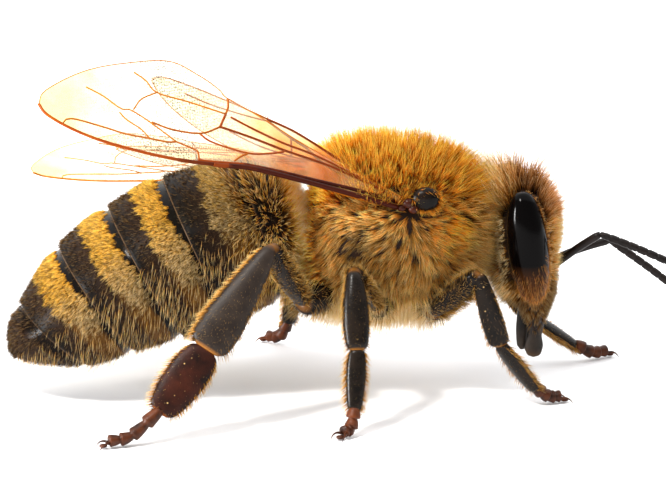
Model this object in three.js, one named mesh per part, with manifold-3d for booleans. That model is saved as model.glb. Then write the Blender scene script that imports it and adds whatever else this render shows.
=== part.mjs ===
// A worker honey bee at life size, standing on her six feet with her wings raised over her back.
// Millimetres, +Z up: +X points to the head, +Y to the bee's left side, and the floor is Z = 0.
// The solids reach out to the tips of the hairs. Thin cuts part the body where it is jointed.

import * as THREE from 'three';
import { mergeVertices } from 'three/addons/utils/BufferGeometryUtils.js';
import Module from 'manifold-3d';

const wasm = await Module();
wasm.setup();

// ---- Driving dimensions ----

const CUT = 0.05;              // width of the cut between two pieces
const LEAST = 0.25;            // least half thickness of a limb or feeler
const WING_THICK = 0.5;
const MIDDLE_X = 0.75;         // middle of the whole bee's length, which becomes the origin
const SIDES = { right: -1, left: 1 };
const BLUNT = 0.66;            // size of a limb's end face against the limb beside it
const SHOULDER = 0.13;         // share of a limb's length that each blunt end takes
const FINEST = 0.008;          // a face may move this little when slivers are smoothed away after a cut
const SAME_PLACE = 1e-5;       // corners closer than this are one corner
const ROOM = 40;               // size of the blocks that halve a solid, wider than the bee

// How finely the rounded solids are cut: sides round, and rings along.
const THORAX_CUT = { sides: 20, rings: 10 };
const ABDOMEN_CUT = { sides: 20, leastRings: 5, ringsPerRow: 2 };
const HEAD_CUT = { sides: 16, rings: 10 };
const EYE_CUT = { sides: 12, rings: 8 };
const TEGULA_CUT = { sides: 10, rings: 6 };
const LIMB_CUT = { sides: 7, roomSides: 6, neckSides: 12 };
const FOOT_CUT = { sides: 6, steps: 3, clawSides: 5 };
const FEELER_SIDES = 6;

// Rings down the abdomen, from the waist to the sting: middle, lean of the ring's plane, half sizes.
const ABDOMEN_RINGS = [
  { x: -0.80, z: 3.75, lean: 0, high: 0.45, wide: 0.50 },
  { x: -1.12, z: 3.95, lean: 8, high: 1.38, wide: 1.50 },
  { x: -1.75, z: 4.00, lean: 18, high: 1.78, wide: 1.88 },
  { x: -3.30, z: 3.55, lean: 25, high: 1.98, wide: 2.12 },
  { x: -4.53, z: 2.99, lean: 30, high: 1.87, wide: 2.05 },
  { x: -5.72, z: 2.32, lean: 36, high: 1.63, wide: 1.85 },
  { x: -6.74, z: 1.45, lean: 48, high: 1.20, wide: 1.42 },
  { x: -7.25, z: 1.22, lean: 48, high: 0.83, wide: 0.98 },
  { x: -7.60, z: 1.02, lean: 48, high: 0.44, wide: 0.52 },
  { x: -7.78, z: 0.90, lean: 48, high: 0.12, wide: 0.15 },
];
const SEGMENT_ENDS = [0, 2, 3, 4, 5, 6, 9];   // rows of ABDOMEN_RINGS where the segments meet
const SEGMENT_TUCK = 0.035;                   // how far each segment slips under the one before it
const SEGMENT_SWELL = 0.015;

// Rings down the thorax, from the neck to the waist.
const THORAX_RINGS = [
  { x: 3.66, z: 4.50, lean: 0, high: 0.75, wide: 0.90 },
  { x: 3.30, z: 4.33, lean: 0, high: 1.62, wide: 1.60 },
  { x: 2.45, z: 4.14, lean: 0, high: 2.24, wide: 2.12 },
  { x: 1.35, z: 4.10, lean: 0, high: 2.46, wide: 2.34 },
  { x: 0.25, z: 4.10, lean: 0, high: 2.36, wide: 2.26 },
  { x: -0.55, z: 3.98, lean: 0, high: 1.80, wide: 1.88 },
  { x: -0.92, z: 3.85, lean: 0, high: 0.95, wide: 1.15 },
];
const COLLAR = { point: [2.95, 0, 4.2], facing: [0.94, 0, 0.34] };
const REAR = { point: [0.15, 0, 4.2], facing: [0.96, 0, -0.28] };
const SCUTELLUM_FLOOR = { point: [-0.2, 0, 4.95], facing: [-0.45, 0, 0.89] };

// Level rings down the head, from the crown's tuft to the lip: the face and the nape along X.
const HEAD_RINGS = [
  { z: 5.60, front: 4.94, rear: 4.56, wide: 0.30 },
  { z: 5.44, front: 5.14, rear: 4.24, wide: 1.02 },
  { z: 5.10, front: 5.38, rear: 4.02, wide: 1.50 },
  { z: 4.60, front: 5.55, rear: 3.92, wide: 1.84 },
  { z: 4.00, front: 5.60, rear: 3.90, wide: 1.90 },
  { z: 3.30, front: 5.52, rear: 4.00, wide: 1.80 },
  { z: 2.60, front: 5.44, rear: 4.25, wide: 1.42 },
  { z: 2.00, front: 5.32, rear: 4.52, wide: 1.00 },
  { z: 1.60, front: 5.20, rear: 4.68, wide: 0.68 },
  { z: 1.45, front: 5.08, rear: 4.78, wide: 0.40 },
];
const HEAD_SQUARENESS = 0.12;
const EYE = { x: 4.60, y: 1.54, z: 3.88, deep: 0.53, out: 0.52, high: 1.38, lean: 7 };
const NECK = { from: [3.45, 0, 4.30], to: [4.20, 0, 4.10], half: 0.55 };
const TEGULA = { x: 2.02, y: 1.86, z: 5.18, long: 0.42, out: 0.32, high: 0.36 };

// Mouth parts and feelers of the right side; the left side mirrors the places that it doesn't state.
const MANDIBLE = { root: [4.98, 0.40, 1.75], tip: [4.92, 0.16, 0.74], wide: 0.25, tipWide: 0.20 };
const TONGUE = {
  root: [4.66, 0, 2.10], bend: [4.50, 0, 1.50], tip: [4.56, 0, 0.90],
  widths: [0.34, 0.30, 0.25], steps: 3,
};
const FEELERS = {
  right: { socket: [5.24, -0.38, 2.98], elbow: [6.44, -0.90, 4.00], tip: [8.93, -1.40, 2.95] },
  left: { socket: [5.24, 0.38, 2.98], elbow: [6.88, 0.60, 3.47], tip: [9.22, 0.90, 1.60] },
};
const FLAGELLUM_BEADS = 11;
const FLAGELLUM_ARCH = 0.06;    // how far the whip's middle bows up
// Places along a bead, as shares of its length, and its half thickness there against the feeler's.
const BEAD_SHAPE = [{ place: 0.04, size: 0.90 }, { place: 0.82, size: 1.04 }];

// Joints of the six legs.
const LEG_JOINTS = {
  front_right: {
    root: [2.55, -0.55, 2.55], hip: [2.31, -1.20, 2.22], knee: [3.34, -2.20, 3.37],
    ankle: [3.86, -2.20, 1.62], heel: [4.76, -1.97, 0.42],
    foot: [5.08, -1.86, 0.20], toe: [5.38, -1.76, 0.19],
  },
  front_left: {
    root: [2.55, 0.55, 2.55], hip: [2.35, 1.20, 2.22], knee: [4.05, 2.05, 2.66],
    ankle: [5.12, 1.92, 1.20], heel: [6.22, 2.00, 0.42],
    foot: [6.66, 2.18, 0.20], toe: [7.05, 2.40, 0.19],
  },
  middle_right: {
    root: [1.20, -0.60, 2.50], hip: [0.93, -1.30, 2.42], knee: [0.24, -3.00, 3.72],
    ankle: [0.25, -3.75, 1.99], heel: [0.23, -4.18, 0.62],
    foot: [0.09, -4.33, 0.22], toe: [-0.14, -4.52, 0.19],
  },
  middle_left: {
    root: [1.20, 0.60, 2.50], hip: [0.90, 1.30, 2.42], knee: [-0.10, 2.95, 3.68],
    ankle: [-0.52, 3.75, 1.99], heel: [-0.76, 4.18, 0.62],
    foot: [-0.96, 4.36, 0.22], toe: [-1.25, 4.56, 0.19],
  },
  hind_right: {
    root: [-0.15, -0.62, 2.72], hip: [-0.86, -1.50, 2.62], knee: [-1.73, -3.10, 4.40],
    ankle: [-3.38, -4.00, 2.14], heel: [-4.51, -4.50, 0.77],
    foot: [-5.20, -4.70, 0.24], toe: [-5.76, -4.84, 0.19],
  },
  hind_left: {
    root: [-0.15, 0.62, 2.72], hip: [-0.86, 1.50, 2.62], knee: [-1.75, 3.25, 3.74],
    ankle: [-3.50, 4.30, 1.76], heel: [-4.68, 4.72, 0.66],
    foot: [-5.30, 4.90, 0.24], toe: [-5.84, 5.04, 0.19],
  },
};

// Half widths of each leg's lengths at their start, middle and end.
const LEG_WIDTHS = {
  front: {
    coxa: [0.40, 0.42, 0.32], femur: [0.27, 0.31, 0.26],
    tibia: [0.26, 0.29, 0.28], basitarsus: [0.26, 0.28, 0.25],
  },
  middle: {
    coxa: [0.42, 0.44, 0.34], femur: [0.28, 0.33, 0.28],
    tibia: [0.27, 0.33, 0.29], basitarsus: [0.27, 0.29, 0.25],
  },
  hind: {
    coxa: [0.46, 0.50, 0.38], femur: [0.30, 0.37, 0.30],
    tibia: [0.28, 0.45, 0.55], basitarsus: [0.50, 0.54, 0.40],
  },
};
const KNUCKLE = 0.16;           // how far a leg's lengths run past their joints before they are parted
const LEG_ROOM = 0.1;           // room round the lengths that start inside the thorax's fur
const LEG_FLAT = { ahead: 0.82, out: 0.2, down: 0.52 };   // the way in which a flat length is wide
const FOOT_PAST = 0.06;         // how far a foot's strand runs past its heel and toe
const CLAW = { long: 0.34, spread: 0.42, root: 0.20, tip: 0.09 };

// Wing outlines: along the wing from its root, and across it from the leading to the trailing edge.
const FOREWING_EDGE = [
  [0.00, -0.14], [1.80, -0.10], [3.60, -0.13], [4.90, -0.38], [6.20, -0.58], [7.60, -0.58], [8.70, -0.38],
  [9.22, 0.04], [9.05, 0.55], [8.22, 1.37], [7.20, 2.02], [6.10, 2.48], [5.30, 2.26], [4.56, 1.78],
  [3.60, 1.42], [2.40, 0.97], [1.20, 0.56], [0.00, 0.22],
];
const HINDWING_EDGE = [
  [0.05, 0.20], [0.95, 0.68], [1.80, 1.14], [2.70, 1.48], [3.60, 1.66], [4.60, 1.86], [5.60, 2.05],
  [6.20, 2.08], [6.45, 1.86], [6.10, 1.35], [5.20, 0.80], [4.10, 0.38], [2.80, 0.08], [1.40, -0.04],
  [0.10, -0.04],
];
const WINGS = {
  right: { root: [1.51, -1.75, 5.06], tip: [-7.25, -2.60, 7.87], roof: 40 },
  left: { root: [1.51, 1.75, 5.06], tip: [-6.95, 4.98, 4.42], roof: 36 },
};
const FOREWING_BELOW = 0.15;    // part of the forewing's thickness that lies under its membrane
const EDGE_STEPS = 2;

// ---- Finishes ----

const FINISHES = {
  fur: { color: '#8f6327', roughness: 0.9 },
  head: { color: '#5a4226', roughness: 0.8 },
  band: { color: '#7a5a2a', roughness: 0.55 },
  rump: { color: '#2a1c12', roughness: 0.55 },
  shell: { color: '#2a1c12', roughness: 0.4 },
  eye: { color: '#120c0a', roughness: 0.15 },
  leg: { color: '#2b160d', roughness: 0.35 },
  foot: { color: '#8a4a1c', roughness: 0.5 },
  wing: { color: '#c9a463', roughness: 0.3 },
  feeler: { color: '#1a1412', roughness: 0.38 },
};

// ---- Making solids ----

const vector = (list) => new THREE.Vector3(...list);
const mirrored = (list, side) => new THREE.Vector3(list[0], list[1] * side, list[2]);

/** Six times the volume inside a closed indexed geometry, below zero where its faces point in. */
function signedVolume(position, index) {
  const corners = [new THREE.Vector3(), new THREE.Vector3(), new THREE.Vector3()];
  let total = 0;
  for (let i = 0; i < index.count; i += 3) {
    corners.forEach((corner, k) => corner.fromBufferAttribute(position, index.getX(i + k)));
    total += corners[0].dot(corners[1].clone().cross(corners[2]));
  }
  return total;
}

/** A closed geometry as a solid, with its doubles merged and its faces pointing out. */
function solidOf(geometry) {
  geometry.deleteAttribute('normal');
  geometry.deleteAttribute('uv');
  const merged = mergeVertices(geometry, SAME_PLACE);
  const triVerts = new Uint32Array(merged.index.array);
  if (signedVolume(merged.attributes.position, merged.index) < 0) {
    triVerts.reverse();
  }
  const vertProperties = merged.attributes.position.array;
  return new wasm.Manifold(new wasm.Mesh({ numProp: 3, vertProperties, triVerts }));
}

/** A solid through a row of rings: a sphere's grid laid on them, with both ends closed flat. */
function loft(sides, rings) {
  const geometry = new THREE.SphereGeometry(1, sides, rings.length + 1);
  const position = geometry.attributes.position;
  for (let i = 0; i < position.count; i += 1) {
    const row = Math.floor(i / (sides + 1));
    const turn = (((i % (sides + 1)) % sides) / sides) * 2 * Math.PI;
    const ring = rings[THREE.MathUtils.clamp(row - 1, 0, rings.length - 1)];
    const isEnd = row === 0 || row > rings.length;
    position.setXYZ(i, ...(isEnd ? ring.middle : ring.at(turn)).toArray());
  }
  return solidOf(geometry);
}

/** An oval ring: half sizes along two directions, squarer where squareness is above nought. */
function oval(middle, up, side, high, wide, squareness = 0) {
  const bend = (value) => Math.sign(value) * Math.abs(value) ** (1 - squareness);
  const at = (turn) => middle.clone()
    .addScaledVector(up, high * bend(Math.cos(turn)))
    .addScaledVector(side, wide * bend(Math.sin(turn)));
  return { middle, at };
}

/** Smooth values between a table's rows: the result reads row t, whole or not, as an object. */
function between(rows) {
  const keys = Object.keys(rows[0]);
  const values = rows.flatMap((row) => keys.map((key) => row[key]));
  const curve = new THREE.CubicInterpolant(rows.map((row, i) => i), values, keys.length);
  return (t) => {
    const found = curve.evaluate(t);
    return Object.fromEntries(keys.map((key, k) => [key, found[k]]));
  };
}

/** A limb along a curve, with half widths at its start, middle and end, and blunt ends past its ends. */
function limb({
  curve, flat, widths, thick = LEAST, sides = LIMB_CUT.sides, steps = 2, past = 0, grow = 0,
}) {
  const rings = [];
  const inner = Array.from(
    { length: steps + 1 },
    (_, i) => [THREE.MathUtils.lerp(SHOULDER, 1 - SHOULDER, i / steps), 1],
  );
  for (const [t, share] of [[0, BLUNT], ...inner, [1, BLUNT]]) {
    const tangent = curve.getTangent(t);
    const over = share < 1 ? Math.sign(t - 0.5) * (past + grow) : 0;
    const middle = curve.getPoint(t).addScaledVector(tangent, over);
    const side = flat.clone().addScaledVector(tangent, -flat.dot(tangent)).normalize();
    const up = tangent.clone().cross(side);
    const swell = 4 * t * (1 - t);
    const width = (1 - swell) * (t < 0.5 ? widths[0] : widths[2]) + swell * widths[1];
    rings.push(oval(middle, up, side, Math.min(thick, width) * share + grow, width * share + grow));
  }
  return loft(sides, rings);
}

/** The half of space on the far side of a plane, moved along its facing by shift. */
function halfSpace({ point, facing }, shift = 0) {
  const away = vector(facing).normalize();
  const block = new THREE.BoxGeometry(ROOM, ROOM, ROOM);
  const turn = new THREE.Quaternion().setFromUnitVectors(new THREE.Vector3(0, 0, 1), away);
  const centre = vector(point).addScaledVector(away, ROOM / 2 + shift);
  block.applyMatrix4(new THREE.Matrix4().compose(centre, turn, new THREE.Vector3(1, 1, 1)));
  return solidOf(block);
}

/** Parts a solid along a plane: what lies on its facing side, and what lies behind it. */
function part(solid, plane) {
  const back = { point: plane.point, facing: plane.facing.map((value) => -value) };
  return [solid.subtract(halfSpace(back, -CUT / 2)), solid.subtract(halfSpace(plane, -CUT / 2))];
}

/** A scaled and turned sphere. */
function ellipsoid({ sides, rings }, half, centre, turn = new THREE.Euler()) {
  const sphere = new THREE.SphereGeometry(1, sides, rings);
  const place = new THREE.Quaternion().setFromEuler(turn);
  sphere.applyMatrix4(new THREE.Matrix4().compose(centre, place, vector(half)));
  return solidOf(sphere);
}

// ---- The group ----

const group = new THREE.Group();
group.position.x = -MIDDLE_X;

/** Adds a finished solid to the bee, less what it must leave room for. */
function add(name, solid, finish, takenAway = []) {
  const cut = takenAway.reduce((rest, other) => rest.subtract(other), solid).simplify(FINEST);
  const { vertProperties, triVerts } = cut.getMesh();
  const geometry = new THREE.BufferGeometry();
  geometry.setAttribute('position', new THREE.BufferAttribute(vertProperties, 3));
  geometry.setIndex(new THREE.BufferAttribute(triVerts, 1));
  const material = new THREE.MeshStandardMaterial({ ...FINISHES[finish], metalness: 0 });
  const mesh = new THREE.Mesh(geometry, material);
  mesh.name = name;
  group.add(mesh);
}

// ---- Body forms ----

const upright = new THREE.Vector3(0, 0, 1);
const sideways = new THREE.Vector3(0, 1, 0);
const forwards = new THREE.Vector3(1, 0, 0);

/** Even places along a table's rows, from the first row to the last. */
function evenRows(table, count) {
  return Array.from({ length: count }, (_, i) => (i * (table.length - 1)) / (count - 1));
}

/** A ring of the body's trunk, its plane leaning back from upright. */
function trunkRing({ x, z, lean, high, wide }, share, grow) {
  const angle = THREE.MathUtils.degToRad(lean);
  const up = new THREE.Vector3(-Math.sin(angle), 0, Math.cos(angle));
  return oval(new THREE.Vector3(x, 0, z), up, sideways, high * share + grow, wide * share + grow);
}

function thorax(grow = 0) {
  const read = between(THORAX_RINGS);
  const rows = evenRows(THORAX_RINGS, THORAX_CUT.rings);
  return loft(THORAX_CUT.sides, rows.map((row) => trunkRing(read(row), 1, grow)));
}

/** One abdomen segment: its front slips under the segment before it, and its middle swells. */
function abdomenSegment(number) {
  const read = between(ABDOMEN_RINGS);
  const [start, end] = [SEGMENT_ENDS[number - 1], SEGMENT_ENDS[number]];
  const inset = CUT / 2;
  const steps = Math.max(ABDOMEN_CUT.leastRings - 1, Math.round((end - start) * ABDOMEN_CUT.ringsPerRow));
  const rings = Array.from({ length: steps + 1 }, (_, i) => {
    const t = i / steps;
    const share = 1 - SEGMENT_TUCK * (1 - t) ** 3 + SEGMENT_SWELL * Math.sin(Math.PI * t);
    return trunkRing(read(THREE.MathUtils.lerp(start + inset, end - inset, t)), share, 0);
  });
  return loft(ABDOMEN_CUT.sides, rings);
}

function head(grow = 0) {
  const read = between(HEAD_RINGS);
  const rings = evenRows(HEAD_RINGS, HEAD_CUT.rings).map((row) => {
    const { z, front, rear, wide } = read(row);
    const middle = new THREE.Vector3((front + rear) / 2, 0, z);
    return oval(middle, forwards, sideways, (front - rear) / 2 + grow, wide + grow, HEAD_SQUARENESS);
  });
  return loft(HEAD_CUT.sides, rings);
}

function eye(side, grow = 0) {
  const half = [EYE.deep + grow, EYE.out + grow, EYE.high + grow];
  const turn = new THREE.Euler(0, THREE.MathUtils.degToRad(-EYE.lean), 0);
  return ellipsoid(EYE_CUT, half, new THREE.Vector3(EYE.x, EYE.y * side, EYE.z), turn);
}

function tegula(side, grow = 0) {
  const half = [TEGULA.long + grow, TEGULA.out + grow, TEGULA.high + grow];
  return ellipsoid(TEGULA_CUT, half, new THREE.Vector3(TEGULA.x, TEGULA.y * side, TEGULA.z));
}

function neck() {
  const curve = new THREE.LineCurve3(vector(NECK.from), vector(NECK.to));
  const widths = [NECK.half, NECK.half, NECK.half];
  return limb({ curve, flat: sideways, widths, thick: NECK.half, sides: LIMB_CUT.neckSides });
}

// ---- Mouth and feelers ----

function mandible(side, grow = 0) {
  const curve = new THREE.LineCurve3(mirrored(MANDIBLE.root, side), mirrored(MANDIBLE.tip, side));
  const { wide, tipWide } = MANDIBLE;
  return limb({ curve, flat: forwards, widths: [wide, wide, tipWide], grow });
}

function tongue() {
  const { root, bend, tip, widths, steps } = TONGUE;
  const curve = new THREE.QuadraticBezierCurve3(vector(root), vector(bend), vector(tip));
  return limb({ curve, flat: sideways, widths, steps });
}

function scape(sideName, grow = 0) {
  const { socket, elbow } = FEELERS[sideName];
  const curve = new THREE.LineCurve3(vector(socket), vector(elbow));
  return limb({ curve, flat: upright, widths: [LEAST, LEAST, LEAST], grow });
}

/** The jointed whip past the elbow: a row of short beads, each with a narrow waist after it. */
function flagellum(sideName) {
  const { elbow, tip } = FEELERS[sideName];
  const start = vector(elbow);
  const arch = start.clone().lerp(vector(tip), 0.5).addScaledVector(upright, FLAGELLUM_ARCH);
  const curve = new THREE.QuadraticBezierCurve3(start, arch, vector(tip));
  const rings = [];
  for (let bead = 0; bead < FLAGELLUM_BEADS; bead += 1) {
    for (const { place, size } of BEAD_SHAPE) {
      const t = (bead + place) / FLAGELLUM_BEADS;
      const tangent = curve.getTangent(t);
      const up = sideways.clone().cross(tangent).normalize();
      rings.push(oval(curve.getPoint(t), up, tangent.clone().cross(up), LEAST * size, LEAST * size));
    }
  }
  return loft(FEELER_SIDES, rings);
}

// ---- Legs ----

/** The direction in which a leg's flat lengths are wide: level with the body's side, across the limb. */
function legFlat(side) {
  return new THREE.Vector3(LEG_FLAT.ahead, LEG_FLAT.out * side, -LEG_FLAT.down);
}

/** The plane that halves the angle between the two lengths that meet at a joint, facing the foot. */
function jointPlane(legName, jointName) {
  const joints = LEG_JOINTS[legName];
  const names = Object.keys(joints);
  const place = names.indexOf(jointName);
  const [before, here, after] = [-1, 0, 1].map((step) => vector(joints[names[place + step]]));
  const facing = here.clone().sub(before).normalize().add(after.sub(here).normalize());
  return { point: here.toArray(), facing: facing.toArray() };
}

function legLength(legName, pieceName, from, to, grow = 0) {
  const [pair, sideName] = legName.split('_');
  const joints = LEG_JOINTS[legName];
  const curve = new THREE.LineCurve3(vector(joints[from]), vector(joints[to]));
  const widths = LEG_WIDTHS[pair][pieceName];
  const thick = pieceName === 'coxa' ? widths[1] : LEAST;
  const sides = grow > 0 ? LIMB_CUT.roomSides : LIMB_CUT.sides;
  return limb({ curve, flat: legFlat(SIDES[sideName]), widths, thick, sides, past: KNUCKLE, grow });
}

/** One claw of a foot, spread to one side of the toe's direction and tapering to the floor. */
function claw(toe, heading, spread) {
  const across = heading.clone().cross(upright).normalize();
  const direction = heading.clone().addScaledVector(across, spread).normalize();
  const tip = toe.clone().addScaledVector(direction, CLAW.long).setZ(CLAW.tip);
  const rings = [[toe, CLAW.root], [tip, CLAW.tip]];
  const cuts = rings.map(([middle, half]) => oval(middle, upright, across, half, half));
  return loft(FOOT_CUT.clawSides, cuts);
}

/** The foot: a bent row of small joints that ends in two claws, on a flat at the floor. */
function tarsus(legName) {
  const { heel, foot, toe } = LEG_JOINTS[legName];
  const [start, middle, end] = [vector(heel), vector(foot), vector(toe)];
  const curve = new THREE.CatmullRomCurve3([start, middle, end]);
  const heading = end.clone().sub(middle).setZ(0).normalize();
  const flat = heading.clone().cross(upright).normalize();
  const { sides, steps } = FOOT_CUT;
  const strand = limb({ curve, flat, widths: [LEAST, LEAST, LEAST], sides, steps, past: FOOT_PAST });
  const clawed = strand.add(claw(end, heading, CLAW.spread)).add(claw(end, heading, -CLAW.spread));
  return clawed.subtract(halfSpace({ point: [0, 0, 0], facing: [0, 0, -1] }));
}

// The stout lengths of a leg, each with the joints that it runs from and to.
const LENGTHS = [
  ['coxa', 'root', 'hip'],
  ['femur', 'hip', 'knee'],
  ['tibia', 'knee', 'ankle'],
  ['basitarsus', 'ankle', 'heel'],
];

function addLeg(legName) {
  for (const [pieceName, from, to] of LENGTHS) {
    const whole = legLength(legName, pieceName, from, to);
    const [, below] = part(whole, jointPlane(legName, to));
    const length = from === 'root' ? below : part(below, jointPlane(legName, from))[0];
    add(`${pieceName}_${legName}`, length, 'leg');
  }
  const [foot] = part(tarsus(legName), jointPlane(legName, 'heel'));
  add(`tarsus_${legName}`, foot, 'foot');
}

// ---- Wings ----

/** A flat wing: its outline in the plane of the wing, from low to high along the wing's back normal. */
function wing(sideName, edge, low) {
  const side = SIDES[sideName];
  const { root, tip, roof } = WINGS[sideName];
  const angle = THREE.MathUtils.degToRad(roof);
  const along = vector(tip).sub(vector(root)).normalize();
  const slope = new THREE.Vector3(0, -side * Math.cos(angle), Math.sin(angle));
  const across = slope.addScaledVector(along, -slope.dot(along)).normalize();
  const back = along.clone().cross(across).multiplyScalar(side);
  const shape = new THREE.Shape().moveTo(...edge[0]);
  shape.splineThru(edge.slice(1).map(([x, y]) => new THREE.Vector2(x, y)));
  const settings = { depth: WING_THICK, bevelEnabled: false, curveSegments: EDGE_STEPS };
  const slab = new THREE.ExtrudeGeometry(shape, settings);
  const place = new THREE.Matrix4().makeBasis(along, across, back);
  place.setPosition(vector(root).addScaledVector(back, low));
  return solidOf(slab.applyMatrix4(place));
}

// ---- Building the bee ----

const legNames = Object.keys(LEG_JOINTS);
const sideNames = Object.keys(SIDES);
const thoraxRoom = thorax(CUT);
const headRoom = head(CUT);

const thoraxPockets = [
  ...sideNames.map((name) => tegula(SIDES[name], CUT)),
  ...legNames.map((name) => legLength(name, 'coxa', 'root', 'hip', LEG_ROOM)),
  ...legNames.map((name) => legLength(name, 'femur', 'hip', 'knee', LEG_ROOM)),
];
const [prothorax, afterCollar] = part(thorax(), COLLAR);
const [mesothorax, rearThorax] = part(afterCollar, REAR);
const [scutellum, propodeum] = part(rearThorax, SCUTELLUM_FLOOR);
add('prothorax', prothorax, 'fur', thoraxPockets);
add('mesothorax', mesothorax, 'fur', thoraxPockets);
add('scutellum', scutellum, 'fur', thoraxPockets);
add('propodeum', propodeum, 'fur', thoraxPockets);
add('neck', neck(), 'shell', [thoraxRoom, headRoom]);

for (let number = 1; number < SEGMENT_ENDS.length; number += 1) {
  const isLast = number === SEGMENT_ENDS.length - 1;
  add(`abdomen_${number}`, abdomenSegment(number), isLast ? 'rump' : 'band', [thoraxRoom]);
}

const jawRoom = sideNames.map((name) => mandible(SIDES[name], CUT));
add('head', head(), 'head', [
  ...sideNames.map((name) => eye(SIDES[name], CUT)),
  ...jawRoom,
  ...sideNames.map((name) => scape(name, CUT)),
]);
add('tongue', tongue(), 'shell', [headRoom, ...jawRoom]);

for (const name of sideNames) {
  const side = SIDES[name];
  add(`eye_${name}`, eye(side), 'eye');
  add(`mandible_${name}`, mandible(side), 'shell');
  add(`scape_${name}`, scape(name), 'feeler');
  add(`flagellum_${name}`, flagellum(name), 'feeler', [scape(name, CUT)]);
  add(`tegula_${name}`, tegula(side), 'shell');
  const wingRoom = [thoraxRoom, tegula(side, CUT)];
  const hindwingLow = -FOREWING_BELOW - CUT - WING_THICK;
  add(`forewing_${name}`, wing(name, FOREWING_EDGE, -FOREWING_BELOW), 'wing', wingRoom);
  add(`hindwing_${name}`, wing(name, HINDWING_EDGE, hindwingLow), 'wing', wingRoom);
}

legNames.forEach(addLeg);

export default group;
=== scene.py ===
"""A worker honey bee at life size, standing still with her wings raised over her back."""

import math

import bpy
import numpy as np
from bpy.props import FloatProperty, FloatVectorProperty, IntProperty, PointerProperty
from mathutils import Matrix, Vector


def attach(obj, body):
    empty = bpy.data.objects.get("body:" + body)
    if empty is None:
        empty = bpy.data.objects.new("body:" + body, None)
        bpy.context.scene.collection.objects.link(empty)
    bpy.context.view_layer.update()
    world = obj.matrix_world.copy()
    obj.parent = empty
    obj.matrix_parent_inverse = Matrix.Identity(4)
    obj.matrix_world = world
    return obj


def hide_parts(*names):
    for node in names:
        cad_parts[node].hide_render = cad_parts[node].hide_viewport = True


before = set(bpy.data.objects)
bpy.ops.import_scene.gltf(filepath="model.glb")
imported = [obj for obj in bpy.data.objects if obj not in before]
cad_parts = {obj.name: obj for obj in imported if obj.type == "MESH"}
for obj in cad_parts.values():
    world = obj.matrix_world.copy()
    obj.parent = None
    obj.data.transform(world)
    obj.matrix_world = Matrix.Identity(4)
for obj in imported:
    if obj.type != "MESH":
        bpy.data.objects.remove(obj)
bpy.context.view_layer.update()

bl_info = {
    "name": "Honey bee",
    "version": (1, 0, 0),
    "blender": (4, 5, 0),
    "location": "View3D > Sidebar > Honey bee",
    "description": "Builds a still, life-size worker honey bee from surfaces and solid hairs",
    "category": "Add Mesh",
}

# ---- Sizes, in millimetres of the bee: +X to the head, +Y to her left, floor at Z = 0 ----

MM = 0.001
ROUND = 2 * np.pi               # a full turn
MIDDLE_X = 0.75                 # the frame's origin lies this far forward of the bee's own
SIDES = {"right": -1.0, "left": 1.0}

# Rings of the coat's outline down the body: x, z, lean in degrees, half height, half width.
ABDOMEN = np.array([
    (-0.80, 3.75, 0, 0.45, 0.50), (-1.12, 3.95, 8, 1.38, 1.50), (-1.75, 4.00, 18, 1.78, 1.88),
    (-3.30, 3.57, 25, 1.98, 2.12), (-4.53, 3.04, 30, 1.87, 2.05), (-5.72, 2.40, 36, 1.63, 1.85),
    (-6.74, 1.55, 48, 1.20, 1.42), (-7.25, 1.32, 48, 0.83, 0.98), (-7.60, 1.12, 48, 0.44, 0.52),
    (-7.78, 1.00, 48, 0.12, 0.15)])
SEGMENT_ENDS = (0, 2, 3, 4, 5, 6, 9)
THORAX = np.array([
    (3.66, 4.50, 0, 0.75, 0.90), (3.30, 4.33, 0, 1.62, 1.60), (2.45, 4.14, 0, 2.24, 2.12),
    (1.35, 4.10, 0, 2.46, 2.34), (0.25, 4.10, 0, 2.36, 2.26), (-0.55, 3.98, 0, 1.80, 1.88),
    (-0.92, 3.85, 0, 0.95, 1.15)])
NECK = ((3.25, 0, 4.25), (4.30, 0, 4.05), (0, 1, 0), (0.50, 0.48, 0.50), (0.48, 0.46, 0.48))
# Level rings down the head: z, face, nape, half width.
HEAD = np.array([
    (5.60, 4.94, 4.56, 0.30), (5.44, 5.14, 4.24, 1.02), (5.10, 5.38, 4.02, 1.50), (4.60, 5.55, 3.92, 1.84),
    (4.00, 5.60, 3.90, 1.90), (3.30, 5.52, 4.00, 1.80), (2.60, 5.44, 4.25, 1.42), (2.00, 5.32, 4.52, 1.00),
    (1.60, 5.20, 4.68, 0.68), (1.45, 5.08, 4.78, 0.40)])
EYE_MIDDLE = np.array((4.60, 1.54, 3.88))
EYE_HALF = np.array((0.49, 0.50, 1.38))
EYE_LEAN = math.radians(7)
TEGULA_MIDDLE = np.array((2.08, 1.84, 5.20))
TEGULA_HALF = np.array((0.35, 0.21, 0.29))
TONGUE = ((4.76, 0, 2.00), (4.60, 0, 1.45), (4.66, 0, 0.92))    # root, bend and tip

FEELERS = {
    "right": ((5.24, -0.38, 2.98), (6.44, -0.90, 4.00), (8.93, -1.40, 2.95)),
    "left": ((5.24, 0.38, 2.98), (6.88, 0.60, 3.47), (9.22, 0.90, 1.60)),
}
FEELER_HALF = 0.098
FLAGELLUM_BEADS = 11

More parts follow.
